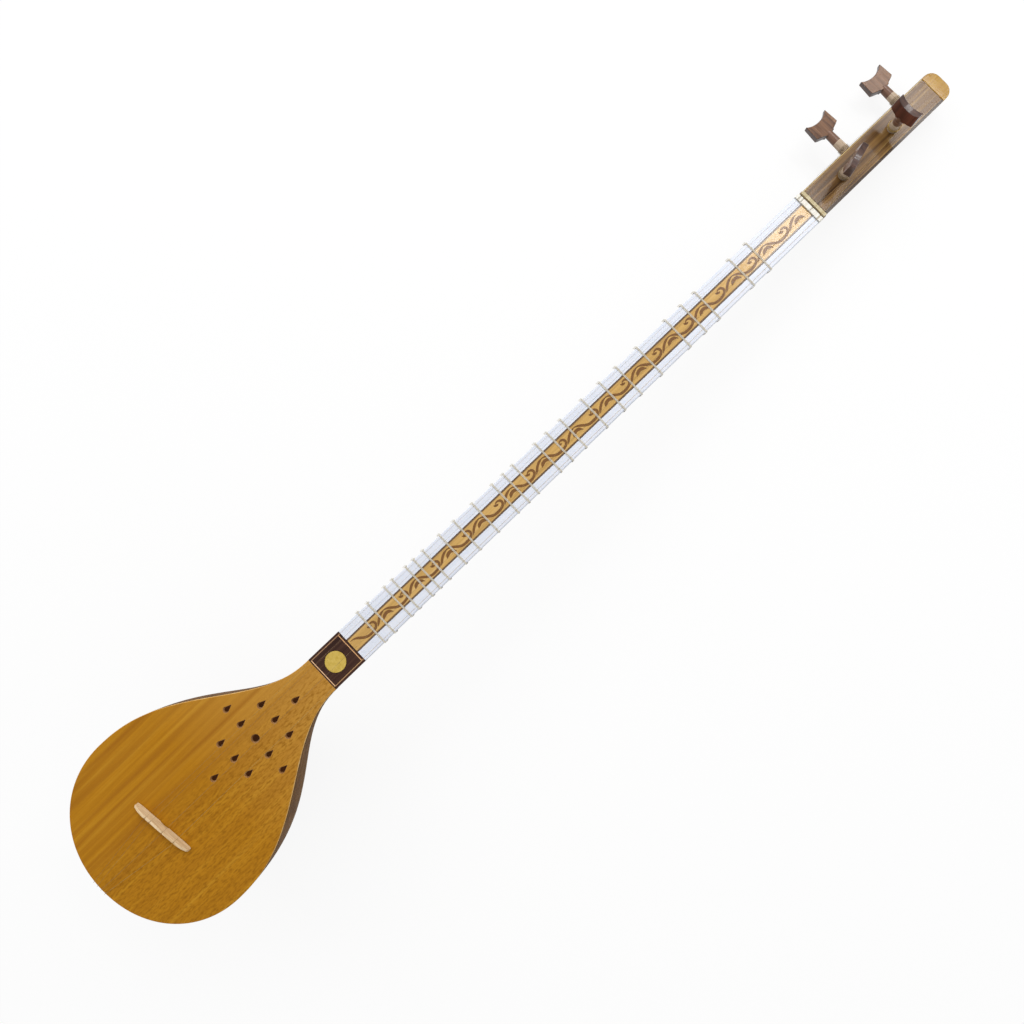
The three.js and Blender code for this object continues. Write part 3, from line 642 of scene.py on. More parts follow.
@dataclass(frozen=True)
class Section:
    """Half of a cross section below its flat face: a superellipse from +y round to -y.

    Attributes:
        half_width: Half the width at the face.
        depth: How deep it is below the face.
        roundness: The superellipse's power.
    """

    half_width: float
    depth: float
    roundness: float

    def at(self, turn: float) -> Vector:
        """Finds a point by its turn.

        Args:
            turn: The turn, from 0 at +y to 1 at -y.

        Returns:
            The point's y and z.
        """
        across = math.cos(turn * math.pi)
        down = max(math.sin(turn * math.pi), 0.0)
        power = 2 / self.roundness
        y = math.copysign(abs(across) ** power, across) * self.half_width
        return Vector((y, -(down**power) * self.depth))

    def even(self, shares: Iterable[float]) -> list[Vector]:
        """Finds points by their share of the way round.

        Args:
            shares: Shares of the outline's length, rising from 0 to 1.

        Returns:
            The y and z of each point.
        """
        fine = [self.at(i / SECTION_STEPS) for i in range(SECTION_STEPS + 1)]
        run = [0.0]
        for before, after in zip(fine, fine[1:]):
            run.append(run[-1] + (after - before).length)
        points = []
        i = 0
        for share in shares:
            goal = share * run[-1]
            while i < SECTION_STEPS - 1 and run[i + 1] < goal:
                i += 1
            step = run[i + 1] - run[i]
            points.append(fine[i].lerp(fine[i + 1], min(max((goal - run[i]) / step, 0.0), 1.0)))
        return points


class Workshop:
    """Turns shapes into finished pieces in the model's frame, and reports each one."""

    flat_deg: float = 0.3

    def __init__(self, frame: dict[str, Any]) -> None:
        """Keeps the frame.
        """
        self.nodes = frame["nodes"]
        self.space = Space.of(frame["joints"])
        self.finished: dict[str, bpy.types.Material] = {}

    def finish(self, kind: Finish) -> bpy.types.Material:
        """Builds a finish the first time it is asked for.

        Args:
            kind: The finish.

        Returns:
            Its material.
        """
        if kind.name not in self.finished:
            self.finished[kind.name] = kind.material(self.space)
        return self.finished[kind.name]

    def copy_of(self, node: str) -> Shape:
        """Copies a node's mesh, merged, into the instrument's millimetres.

        Args:
            node: The node's name.

        Returns:
            The copy.
        """
        shape = bmesh.new()
        shape.from_mesh(self.nodes[node].data)
        shape.transform(self.space.matrix().inverted())
        bmesh.ops.remove_doubles(shape, verts=shape.verts, dist=COPY_MERGE_GAP)
        limit = math.radians(self.flat_deg)
        bmesh.ops.dissolve_limit(
            shape, angle_limit=limit, verts=shape.verts, edges=shape.edges, delimit={"NORMAL"}
        )
        return shape

    def extent(self, node: str) -> tuple[Vector, Vector]:
        """Measures a node in the instrument's frame.

        Args:
            node: The node's name.

        Returns:
            Its lowest and highest corners, in millimetres.
        """
        back = self.space.matrix().inverted()
        points = [back @ v.co for v in self.nodes[node].data.vertices]
        low, high = (Vector([pick(p[i] for p in points) for i in range(3)]) for pick in (min, max))
        return low, high

    def dress(self, node: str, kind: Finish) -> None:
        """Gives a node that stays its finish.

        Args:
            node: The node's name.
            kind: The finish.
        """
        mesh = self.nodes[node].data
        mesh.materials.clear()
        mesh.materials.append(self.finish(kind))
        LOG.info("%s: %s", node, kind.name)

    def piece(
        self,
        name: str,
        shape: Shape,
        kinds: Sequence[Finish],
        body: str = "instrument",
        stands_for: str = "",
        smooth_deg: float = 32.0,
    ) -> None:
        """Places a shape in the model's frame and gives it its finishes.

        Args:
            name: The piece's name.
            shape: Its shape in the instrument's millimetres, which is used up.
            kinds: Its finishes, in the order of its faces' material numbers.
            body: The body that it moves with.
            stands_for: The node that it replaces, if it replaces one.
            smooth_deg: Edges under this angle are shaded smooth.
        """
        for face in shape.faces:
            face.smooth = True
        for edge in shape.edges:
            edge.smooth = len(edge.link_faces) == 2 and edge.calc_face_angle(0.0) < math.radians(smooth_deg)
        shape.transform(self.space.matrix())
        mesh = bpy.data.meshes.new(name)
        shape.to_mesh(mesh)
        shape.free()
        for kind in kinds:
            mesh.materials.append(self.finish(kind))
        made = bpy.data.objects.new(name, mesh)
        bpy.context.scene.collection.objects.link(made)
        made.modifiers.new("flat faces stay flat", "WEIGHTED_NORMAL").keep_sharp = True
        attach(made, body)
        if stands_for:
            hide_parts(stands_for)
        LOG.info("%s: %d faces, rides %s", name, len(mesh.polygons), body)

    def eased_copy(self, name: str, node: str, width: float, kind: Finish) -> None:
        """Replaces a node of the instrument's own body by a copy with rounded edges.

        Args:
            name: The piece's name.
            node: The node's name.
            width: How far the rounding reaches.
            kind: The finish.
        """
        self.piece(name, eased(self.copy_of(node), width), (kind,), stands_for=node)


def eased(shape: Shape, width: float, angle_deg: float = 40.0, segments: int = 2) -> Shape:
    """Rounds a shape's sharp edges.

    Args:
        shape: The shape.
        width: How far the rounding reaches.
        angle_deg: Edges over this angle are rounded.
        segments: The rounding's steps.

    Returns:
        The same shape.
    """
    limit = math.radians(angle_deg)
    sharp = [e for e in shape.edges if len(e.link_faces) == 2 and e.calc_face_angle(0.0) > limit]
    bmesh.ops.bevel(
        shape,
        geom=sharp,
        offset=width,
        segments=segments,
        profile=0.5,
        affect="EDGES",
        clamp_overlap=True,
        material=-1,
    )
    return shape


def flat_shape(
    outlines: Sequence[Sequence[Point]], thickness: float, top: float, rounding: float = 0.0
) -> Shape:
    """Fills flat outlines and gives them a thickness. An outline inside another is a hole.

    Args:
        outlines: The closed outlines, in x and y.
        thickness: How thick the shape is.
        top: The height of its top.
        rounding: How far its edges are rounded.

    Returns:
        The shape.
    """
    curve = bpy.data.curves.new("outline", "CURVE")
    curve.dimensions = "2D"
    curve.fill_mode = "BOTH"
    curve.extrude = thickness / 2 - rounding
    curve.bevel_depth = rounding
    curve.bevel_resolution = 2
    curve.offset = -rounding
    shape = shape_of(curve, outlines, closed=True)
    shape.transform(Matrix.Translation((0, 0, top - thickness / 2)))
    return shape


def cord_shape(lines: Sequence[Sequence[Vector]], radius: float, closed: bool) -> Shape:
    """Makes round strands along lines of points.

    Args:
        lines: The strands' points.
        radius: Their radius.
        closed: Whether each strand is a loop.

    Returns:
        The shape.
    """
    curve = bpy.data.curves.new("strand", "CURVE")
    curve.dimensions = "3D"
    curve.bevel_depth = radius
    curve.bevel_resolution = 1
    curve.use_fill_caps = not closed
    return shape_of(curve, lines, closed)


def shape_of(curve: bpy.types.Curve, lines: Sequence[Sequence[Vector | Point]], closed: bool) -> Shape:
    """Draws lines in a curve, turns it into a merged shape, and removes it.

    Args:
        curve: The curve, with its settings.
        lines: The lines' points, flat or not.
        closed: Whether each line is a loop.

    Returns:
        The shape.
    """
    for line in lines:
        spline = curve.splines.new("POLY")
        spline.points.add(len(line) - 1)
        for point, place in zip(spline.points, line):
            point.co = (*Vector(place).to_3d(), 1)
        spline.use_cyclic_u = closed
    holder = bpy.data.objects.new("holder", curve)
    shape = bmesh.new()
    shape.from_mesh(holder.to_mesh())
    holder.to_mesh_clear()
    bpy.data.objects.remove(holder)
    bpy.data.curves.remove(curve)
    bmesh.ops.remove_doubles(shape, verts=shape.verts, dist=DRAWN_MERGE_GAP)
    bmesh.ops.recalc_face_normals(shape, faces=shape.faces)
    return shape


def joined(shapes: Sequence[Shape]) -> Shape:
    """Puts shapes together in one, and frees them.

    Args:
        shapes: The shapes.

    Returns:
        The shape that holds them all.
    """
    whole = bmesh.new()
    for shape in shapes:
        mesh = bpy.data.meshes.new("part")
        shape.to_mesh(mesh)
        shape.free()
        whole.from_mesh(mesh)
        bpy.data.meshes.remove(mesh)
    return whole


# The finishes. Each name says what the real one is, and each comment what that gives the eye.

# Oiled mulberry, the classic soundboard wood: golden brown with reddish streaks and a soft gloss.
SOUNDBOARD = BoardWood(
    "oiled mulberry", "ae7616", "a26c13", "ba8522", band_mm=4.0, roughness=0.5, coat=0.0, specular=0.08
)
# The same wood where the board's edge was scraped: paler and duller.
BOARD_EDGE = Wood(
    "scraped mulberry edge", "d2a660", "b88a48", "e0bd80", roughness=0.6, coat=0.0, specular=0.12
)
# The same wood where the holes were cut with a knife: bare, pale and dull.
HOLE_CUT = Wood("cut mulberry", "aa7e50", "805630", "bc9060", roughness=0.8, coat=0.0, specular=0.05)
# Bent mulberry staves, aged to a grey brown under varnish, and bare and pale on the inside.
STAVE, STAVE_DARK = (
    Wood(name, base, dark, pale, band_mm=5.0, roughness=0.55, coat=0.0, specular=0.03)
    for name, base, dark, pale in (
        ("aged mulberry stave", "7c5a32", "654626", "8c6a3c"),
        ("darker aged mulberry stave", "6c4c28", "563a1e", "7c5a34"),
    )
)
# Inside, the bare wood is given a faint glow: painted bounce light in the closed bowl.
BOWL_INSIDE = Wood("bare mulberry inside", "a87c50", "5c3a24", "c09468", roughness=0.8, coat=0.0, glow=0.28)
# The line where two staves are glued: thin and dark.
GLUE_LINE = Wood("glue line", "3e2814", "2e1c0e", "4c3420", roughness=0.7, coat=0.0, specular=0.05)
# Bare spruce blocks inside the bowl: pale and dull.
INNER_WOOD = Wood("bare spruce", "c9a878", "a9865a", "d9bd92", roughness=0.75, coat=0.0)
# Lacquered walnut: brown with darker figure under a clear gloss, with inlaid lines along the head; the wide
# dark band along its -y edge is a purfling line widened with painted shade.
WALNUT = Wood("lacquered walnut", "6b4a2c", "3f2817", "86613c", band_mm=5.0, roughness=0.4, coat=0.3)
HEAD_WALNUT = InlaidWood(
    "lacquered walnut with purfling",
    "74542e",
    "3c2818",
    "9c7a44",
    band_mm=4.0,
    fibre_mm=1.6,
    coat=0.5,
    specular=0.03,
    lines=(
        Inlay("c4a868", Run.LEFT, 0.6, 0.5),
        Inlay("4a2e1a", Run.LEFT, 1.05, 0.4),
        # Partly the brown purfling line, partly painted shade on the edge that turns away from the light.
        Inlay("3c2a1a", Run.RIGHT, 0.9, 1.8),
    ),
    edge_start=(HEAD_START, HEAD_START_WIDTH / 2),
    edge_end=(TIP_X, HEAD_TIP_WIDTH / 2),
)
# A dark rosewood plate with pale purfling let into it.
PLATE = InlaidWood(
    "rosewood with purfling",
    "3d261e",
    "28150f",
    "4e3428",
    band_mm=3.0,
    coat=0.0,
    specular=0.12,
    lines=(
        Inlay("dab088", Run.ACROSS, BOARD_LENGTH + 1.25, 0.7),
        Inlay("cc9c6c", Run.ACROSS, PLATE_END - 1.5, 0.7),
        Inlay("3d261e", Run.EDGES, 0.9, 2.0),
        Inlay("a8805e", Run.EDGES, 2.0, 0.6),
        Inlay("241210", Run.ACROSS, BOARD_LENGTH + 0.6, 0.6),
    ),
    edge_start=(BOARD_LENGTH, HEEL_WIDTH / 2),
    edge_end=(NUT_X, NUT_WIDTH / 2),
)
# A plain disc of boxwood, stained yellow.
DISC = Mottled("yellow boxwood disc", "c9ad58", "bb9e44", mottle_mm=3.0, specular=0.15)
# The golden strip of the fingerboard, smooth under lacquer, with a dark line along each edge.
STRIP = InlaidWood(
    "golden mulberry strip",
    "c49a4e",
    "ac8440",
    "d2aa66",
    band_mm=3.0,
    roughness=0.5,
    coat=1.0,
    specular=0.1,
    relief_mm=0.004,
    lines=(Inlay("624626", Run.EDGES, 0.55, 1.1),),
    edge_start=(PLATE_END, 6.0),
    edge_end=(NUT_X, 6.0),
)
# Lines burned into the strip with a hot iron: dark brown, under the same lacquer.
BURNED = Mottled("pyrography line", "7e521c", "644018", mottle_mm=0.8, roughness=0.2, specular=0.4)
# Polished camel bone: cold white strips, a warmer nut and a yellowed strip behind it.
BONE_STRIP = Bone("polished bone strip", "dcdfe8", "d4d9e4")
BONE_NUT = Bone("rounded bone nut", "e2dfd6", "d2cdbf")
BONE_CREAM = Bone("yellowed bone strip", "c9bc98", "b8a880", roughness=0.45)
BONE_TAIL = Bone("bone string holder", "dfd9c4", "cbbf9f", roughness=0.4)
# Boxwood under golden lacquer on the headstock's end.
CAP = Wood("lacquered boxwood", "a67c2c", "926a20", "b69240", band_mm=4.0, coat=0.45, specular=0.05)
# Peg heads of plum wood, brown, their rims darkened as painted shade and the upright front heads darker than
# the flat side heads, also painted shade; shanks brown under the head and pale below.
# The front pegs' upright heads: a darker copy of the side pegs' plum wood, as painted shade.
PEG_HEAD = Wood(
    "polished plum wood",
    "50261c",
    "361710",
    "6c3a2a",
    grain=Grain.UPRIGHT,
    band_mm=3.0,
    roughness=0.4,
    coat=0.6,
)
PEG_HEAD_SIDE = Wood(
    "polished plum wood of the side pegs",
    "78563e",
    "523829",
    "8c6a50",
    grain=Grain.ACROSS,
    band_mm=3.0,
    roughness=0.4,
    coat=0.3,
    specular=0.05,
)
# The heads' rims: the same plum wood, darker as painted shade on faces that turn away from the light.
SHADED_PEG_RIM, PEG_COLLAR, PEG_SHANK = (
    Wood(name, base, dark, pale, grain=Grain.ACROSS, band_mm=2.0, roughness=roughness, coat=coat)
    for name, base, dark, pale, roughness, coat in (
        ("plum wood edge in painted shade", "4a322a", "34221c", "5e4236", 0.4, 0.5),
        ("brown plum wood shank", "6e4e3c", "50362a", "86644e", 0.45, 0.3),
        ("turned maple", "baa690", "9c8870", "cebca6", 0.5, 0.0),
    )
)
# Bare maple bridge: pale and dull.
BRIDGE_WOOD = Wood(
    "bare maple",
    "dec39b",
    "c6a67a",
    "ead2ae",
    grain=Grain.ACROSS,
    band_mm=2.0,
    roughness=0.65,
    coat=0.0,
    specular=0.1,
)
# Gut tied wet and dried: pale, dull and half clear.
GUT = Mottled("tied gut", "eae4d6", "dad2c0", mottle_mm=0.7, roughness=0.55, specular=0.2, alpha=0.5)
# Plain steel and brass music wire, dulled by handling.
STEEL = Mottled("steel music wire", "8c7a5e", "7a6a50", mottle_mm=2.0, metallic=1.0)
BRASS = Mottled("brass music wire", "a48c5a", "92784a", mottle_mm=2.0, metallic=1.0)


@dataclass
class Soundbox:
    """The soundboard with its holes, the bent staves, the string holder and the inner blocks.

    Attributes:
        board_stations: The steps of the board's outline up to its widest place, and on to the neck.
        widest: The x of that place.
        width_powers: The power of the outline's tail, and the inner and outer one of its shoulder.
        edge_reach: How far in from the outline a steep face is the board's edge and not a hole's.
        tail_reach: The same from the tail's end.
        flat_normal: Faces that look up or down more than this are the board's flat sides.
        hole_centre_share: Where the middle hole lies, as a share of the board's length.
        hole_reach_share: How far a hole reaches from its centre, as a share of the teardrop's length.
        hole_taper_shares: How much a hole narrows downwards, along the board and across it.
        deepest: The x of the bowl's deepest place.
        depth_powers: The powers of the bowl's depth, as those of the width.
        roundness: The power of the bowl's section.
        tail_opening: The x where the staves begin, round the string holder.
        rib_stations: The steps of a stave up to the widest place, and on to the neck.
        rib_steps: The steps across a stave.
        glue_width: Outer faces narrower than this are the eased edges at the glue line.
    """

    board_width: float = 153.0
    board_thickness: float = 2.5
    board_stations: tuple[int, int] = (36, 48)
    widest: float = 71.0
    width_powers: Place = (2.08, 2.26, 2.49)
    edge_rounding: float = 0.55
    edge_reach: float = 2.0
    tail_reach: float = 3.0
    flat_normal: float = 0.94
    hole_centre_share: float = 0.7
    hole_pitch_along: float = 20.7
    hole_pitch_across: float = 15.2
    teardrop: Point = (7.5, 4.4)
    teardrop_steps: int = 14
    round_hole: float = 6.3
    round_hole_steps: int = 24
    hole_reach_share: float = 0.55
    hole_taper_shares: Point = (0.1, 0.2)
    bowl_depth: float = 127.0
    deepest: float = 83.0
    depth_powers: Place = (2.1, 1.7, 1.88)
    roundness: float = 2.48
    tail_opening: float = 2.4
    rib_count: int = 7
    rib_thickness: float = 2.6
    rib_stations: tuple[int, int] = (20, 30)
    rib_steps: int = 6
    rib_easing: float = 0.4
    rib_easing_deg: float = 60.0
    glue_width: float = 0.7
    holder_easing: float = 0.3

    def swell(self, x: float, fullest: float, most: float, least: float, powers: Place) -> float:
        """Works out how far the body swells at x, from the tail over its fullest place to the neck.

        Args:
            x: The place along the body.
            fullest: The x of the fullest place.
            most: The swell there.
            least: The swell at the neck.
            powers: The power of the tail's curve, and the inner and outer power of the shoulder's.

        Returns:
            The swell at x.
        """
        tail, inner, outer = powers
        if x <= fullest:
            return most * (1 - ((fullest - max(x, 0.0)) / fullest) ** tail) ** (1 / tail)
        share = min((x - fullest) / (BOARD_LENGTH - fullest), 1.0)
        return least + (most - least) * (1 - share**inner) ** outer

    def half_width(self, x: float) -> float:
        """Returns the body's half width at x."""
        return self.swell(x, self.widest, self.board_width / 2, HEEL_WIDTH / 2, self.width_powers)

    def depth(self, x: float) -> float:
        """Returns the bowl's depth below its rim at x."""
        rim = self.board_thickness + SEAT_GAP
        return self.swell(x, self.deepest, self.bowl_depth - rim, HEEL_DEPTH - rim, self.depth_powers)

    def stations(self, start: float, steps: tuple[int, int]) -> list[float]:
        """Spaces stations along the body, closer together at the round tail.

        Args:
            start: The first station's x.
            steps: The steps up to the widest place, and from there to the neck.

        Returns:
            The stations' x.
        """
        first = math.acos(1 - start / self.widest)
        turns = [mixed(first, math.pi / 2, i / steps[0]) for i in range(steps[0])]
        shoulder = [mixed(self.widest, BOARD_LENGTH, i / steps[1]) for i in range(steps[1] + 1)]
        return [self.widest * (1 - math.cos(turn)) for turn in turns] + shoulder

    def outline(self) -> list[Point]:
        """Draws the soundboard.

        Returns:
            Its outline.
        """
        stations = self.stations(0.0, self.board_stations)
        right = [(x, -self.half_width(x)) for x in stations]
        left = [(x, self.half_width(x)) for x in stations[1:]]
        return right + left[::-1]

    def hole_centres(self) -> list[Point]:
        """Places the diamond of holes.

        Returns:
            The holes' centres.
        """
        middle = self.hole_centre_share * BOARD_LENGTH
        return [
            (middle + column * self.hole_pitch_along, row * self.hole_pitch_across)
            for column in range(-2, 3)
            for row in range(abs(column) - 2, 3 - abs(column))
        ]

    def hole(self, x: float, y: float) -> list[Point]:
        """Draws a sound hole: a teardrop with its tip to the neck, or the round one in the middle.

        Args:
            x: The hole's centre along the board.
            y: The hole's centre across the board.

        Returns:
            Its outline.
        """
        if math.dist((x, y), (self.hole_centre_share * BOARD_LENGTH, 0.0)) < self.round_hole:
            radius = self.round_hole / 2
            turns = [i / self.round_hole_steps * 2 * math.pi for i in range(self.round_hole_steps)]
            return [(x + radius * math.cos(t), y + radius * math.sin(t)) for t in turns]
        length, width = self.teardrop
        radius = width / 2
        centre = x - length / 2 + radius
        shares = [i / self.teardrop_steps for i in range(self.teardrop_steps + 1)]
        turns = [mixed(math.pi / 3, 5 * math.pi / 3, share) for share in shares]
        back = [(centre + radius * math.cos(t), y + radius * math.sin(t)) for t in turns]
        return back + [(x + length / 2, y)]

    def taper_holes(self, shape: Shape) -> None:
        """Narrows each hole downwards, as the knife that cut it did.

        Args:
            shape: The board.
        """
        along, across = self.hole_taper_shares
        for x, y in self.hole_centres():
            for vert in shape.verts:
                out = vert.co - Vector((x, y, 0))
                near = out.xy.length < self.teardrop[0] * self.hole_reach_share
                if near and out.z < -self.board_thickness / 2:
                    vert.co.x -= out.x * along
                    vert.co.y -= out.y * across

    def build_board(self, shop: Workshop) -> None:
        """Builds the soundboard with its scraped edge and knife-cut holes.

        Args:
            shop: Where pieces are finished.
        """
        outlines = [self.outline()] + [self.hole(x, y) for x, y in self.hole_centres()]
        shape = flat_shape(outlines, self.board_thickness, 0.0, self.edge_rounding)
        self.taper_holes(shape)
        shape.normal_update()
        kinds = (SOUNDBOARD, BOARD_EDGE, HOLE_CUT)
        for face in shape.faces:
            middle = face.calc_center_median()
            if abs(face.normal.z) < self.flat_normal:
                within = abs(middle.y) < self.half_width(middle.x) - self.edge_reach
                inside = within and middle.x > self.tail_reach
                face.material_index = kinds.index(HOLE_CUT if inside else BOARD_EDGE)
        shop.piece("soundboard_plate", shape, kinds, stands_for="soundboard")

    def looks_out(self, face: bmesh.types.BMFace) -> float:
        """Returns more than 0 for a face that looks away from the bowl's heart."""
        return face.normal.dot(face.calc_center_median() - Vector((self.deepest, 0, -HEEL_DEPTH)))

    def rib_row(self, x: float, index: int) -> list[Vector]:
        """Finds points across a stave.

        Args:
            x: The row's place along the bowl.
            index: The stave's number, from 0 at the +y rim.

        Returns:
            The row's points on the bowl's surface.
        """
        section = Section(self.half_width(x), self.depth(x), self.roundness)
        quarters = section.even([0, 0.25, 0.5, 0.75, 1])
        gap = SEAT_GAP / 4 / sum((b - a).length for a, b in zip(quarters, quarters[1:]))
        first, last = index / self.rib_count + gap, (index + 1) / self.rib_count - gap
        shares = [mixed(first, last, i / self.rib_steps) for i in range(self.rib_steps + 1)]
        return [Vector((x, p.x, p.y - self.board_thickness - SEAT_GAP)) for p in section.even(shares)]

    def build_rib(self, shop: Workshop, index: int) -> None:
        """Bends one stave onto the bowl.

        Args:
            shop: Where pieces are finished.
            index: The stave's number, from 0 at the +y rim.
        """
        rows = [self.rib_row(x, index) for x in self.stations(self.tail_opening, self.rib_stations)]
        shape = bmesh.new()
        bmesh.ops.create_grid(shape, x_segments=len(rows) - 1, y_segments=self.rib_steps, size=0.5)
        for vert in shape.verts:
            row = rows[round((vert.co.x + 0.5) * (len(rows) - 1))]
            vert.co = row[round((vert.co.y + 0.5) * self.rib_steps)]
        bmesh.ops.recalc_face_normals(shape, faces=shape.faces)
        if sum(self.looks_out(face) for face in shape.faces) < 0:
            bmesh.ops.reverse_faces(shape, faces=shape.faces)
        bmesh.ops.solidify(shape, geom=shape.faces, thickness=self.rib_thickness)
        bmesh.ops.recalc_face_normals(shape, faces=shape.faces)
        eased(shape, self.rib_easing, self.rib_easing_deg, 1)
        outside = STAVE if index % 2 else STAVE_DARK
        kinds = (outside, BOWL_INSIDE, GLUE_LINE)
        for face in shape.faces:
            narrow = min(edge.calc_length() for edge in face.edges) < self.glue_width
            seen = GLUE_LINE if narrow else outside
            face.material_index = kinds.index(BOWL_INSIDE if self.looks_out(face) < 0 else seen)
        shop.piece(f"stave_{index + 1}", shape, kinds, stands_for=f"rib_{index + 1}")

    def build(self, shop: Workshop) -> None:
        """Builds and dresses the soundbox.

        Args:
            shop: Where pieces are finished.
        """
        self.build_board(shop)
        for index in range(self.rib_count):
            self.build_rib(shop, index)
        for node in ("tail_block", "neck_block", "soundboard_brace"):
            shop.dress(node, INNER_WOOD)
        shop.eased_copy("string_holder", "tailpiece", self.holder_easing, BONE_TAIL)


@dataclass(frozen=True)
class Stroke:
    """One stroke of the burned scroll: joined cubic curves that swell and thin.

    Attributes:
        points: The control points, three for each curve after the first point.
        width: Its greatest width.
        belly_share: The share of its length where it is widest.
        fullness: How soon it swells to its greatest width.
        tip_share: The share of its width that its ends keep.
        steps: The steps of each curve.
    """

    points: tuple[Point, ...]
    width: float
    belly_share: float = 0.5
    fullness: float = 1.5
    tip_share: float = 0.12
    steps: int = 10

    def outline(self, shift: float) -> list[Point]:
        """Draws the stroke.

        Args:
            shift: How far along the strip it lies.

        Returns:
            Its closed outline.
        """
        controls = [Vector((x + shift, y, 0)) for x, y in self.points]
        centre = [controls[0]]
        for first in range(0, len(controls) - 1, 3):
            centre += interpolate_bezier(*controls[first : first + 4], self.steps + 1)[1:]
        left, right = [], []
        last = len(centre) - 1
        power = math.log(0.5) / math.log(self.belly_share)
        for i, point in enumerate(centre):
            along = (centre[min(i + 1, last)] - centre[max(i - 1, 0)]).normalized()
            side = Vector((-along.y, along.x, 0))
            swell = self.fullness * math.sin(math.pi * (i / last) ** power)
            half = self.width / 2 * min(max(swell, self.tip_share), 1.0)
            left.append((point + side * half)[:2])
            right.append((point - side * half)[:2])
        return left + right[::-1]


@dataclass
class Neck:
    """The neck's shaft, the fingerboard's strips with the burned scroll, and the plate with its disc.

    Attributes:
        scroll_overhang: How far the first strokes may reach back over the scroll's start.
        scroll_period: How far the motif lies from its next repeat.
        strokes: The motif's strokes.
    """

    shaft_easing: float = 0.3
    scroll_start: float = 260.3
    scroll_end: float = 721.0
    scroll_overhang: float = 2.0
    scroll_period: float = 32.3
    scroll_thickness: float = 0.05
    strokes: tuple[Stroke, ...] = (
        Stroke(((-11.2, -3.0), (-8.0, -0.8), (-6.2, 3.0), (1.2, 3.2)), 1.9),
        Stroke(
            (
                (-1.6, 3.1), (5.2, 3.6), (6.4, -3.2), (13.2, -3.3),
                (18.6, -3.4), (22.0, -1.6), (21.2, 1.2),
                (20.2, 3.9), (15.4, 3.2), (15.9, 0.5),
            ),
            2.0,
            0.4,
        ),
        Stroke(((-4.4, -2.3), (-2.0, 1.2), (3.0, 1.0), (4.6, -2.9)), 2.5, 0.45),
        Stroke(((14.6, 2.6), (15.4, 1.2), (16.8, 0.6), (18.4, 1.2)), 1.6),
    )

    def build_scroll(self, shop: Workshop) -> None:
        """Draws the burned scroll along the golden strip, as far as it fits.

        Args:
            shop: Where pieces are finished.
        """
        shapes = []
        first = self.scroll_start - self.scroll_overhang
        for i in range(int((self.scroll_end - self.scroll_start) / self.scroll_period) + 1):
            for stroke in self.strokes:
                outline = stroke.outline(self.scroll_start + i * self.scroll_period)
                if min(outline)[0] > first and max(outline)[0] < self.scroll_end:
                    shapes.append(flat_shape([outline], self.scroll_thickness, self.scroll_thickness))
        shop.piece("burned_scroll", joined(shapes), (BURNED,))

    def build(self, shop: Workshop) -> None:
        """Builds and dresses the neck.

        Args:
            shop: Where pieces are finished.
        """
        shop.eased_copy("neck_back", "neck_shaft", self.shaft_easing, WALNUT)
        for node, kind in (
            ("fingerboard_strip", STRIP),
            ("bone_strip_left", BONE_STRIP),
            ("bone_strip_right", BONE_STRIP),
            ("joint_plate", PLATE),
            ("plate_disc", DISC),
        ):
            shop.dress(node, kind)
        self.build_scroll(shop)


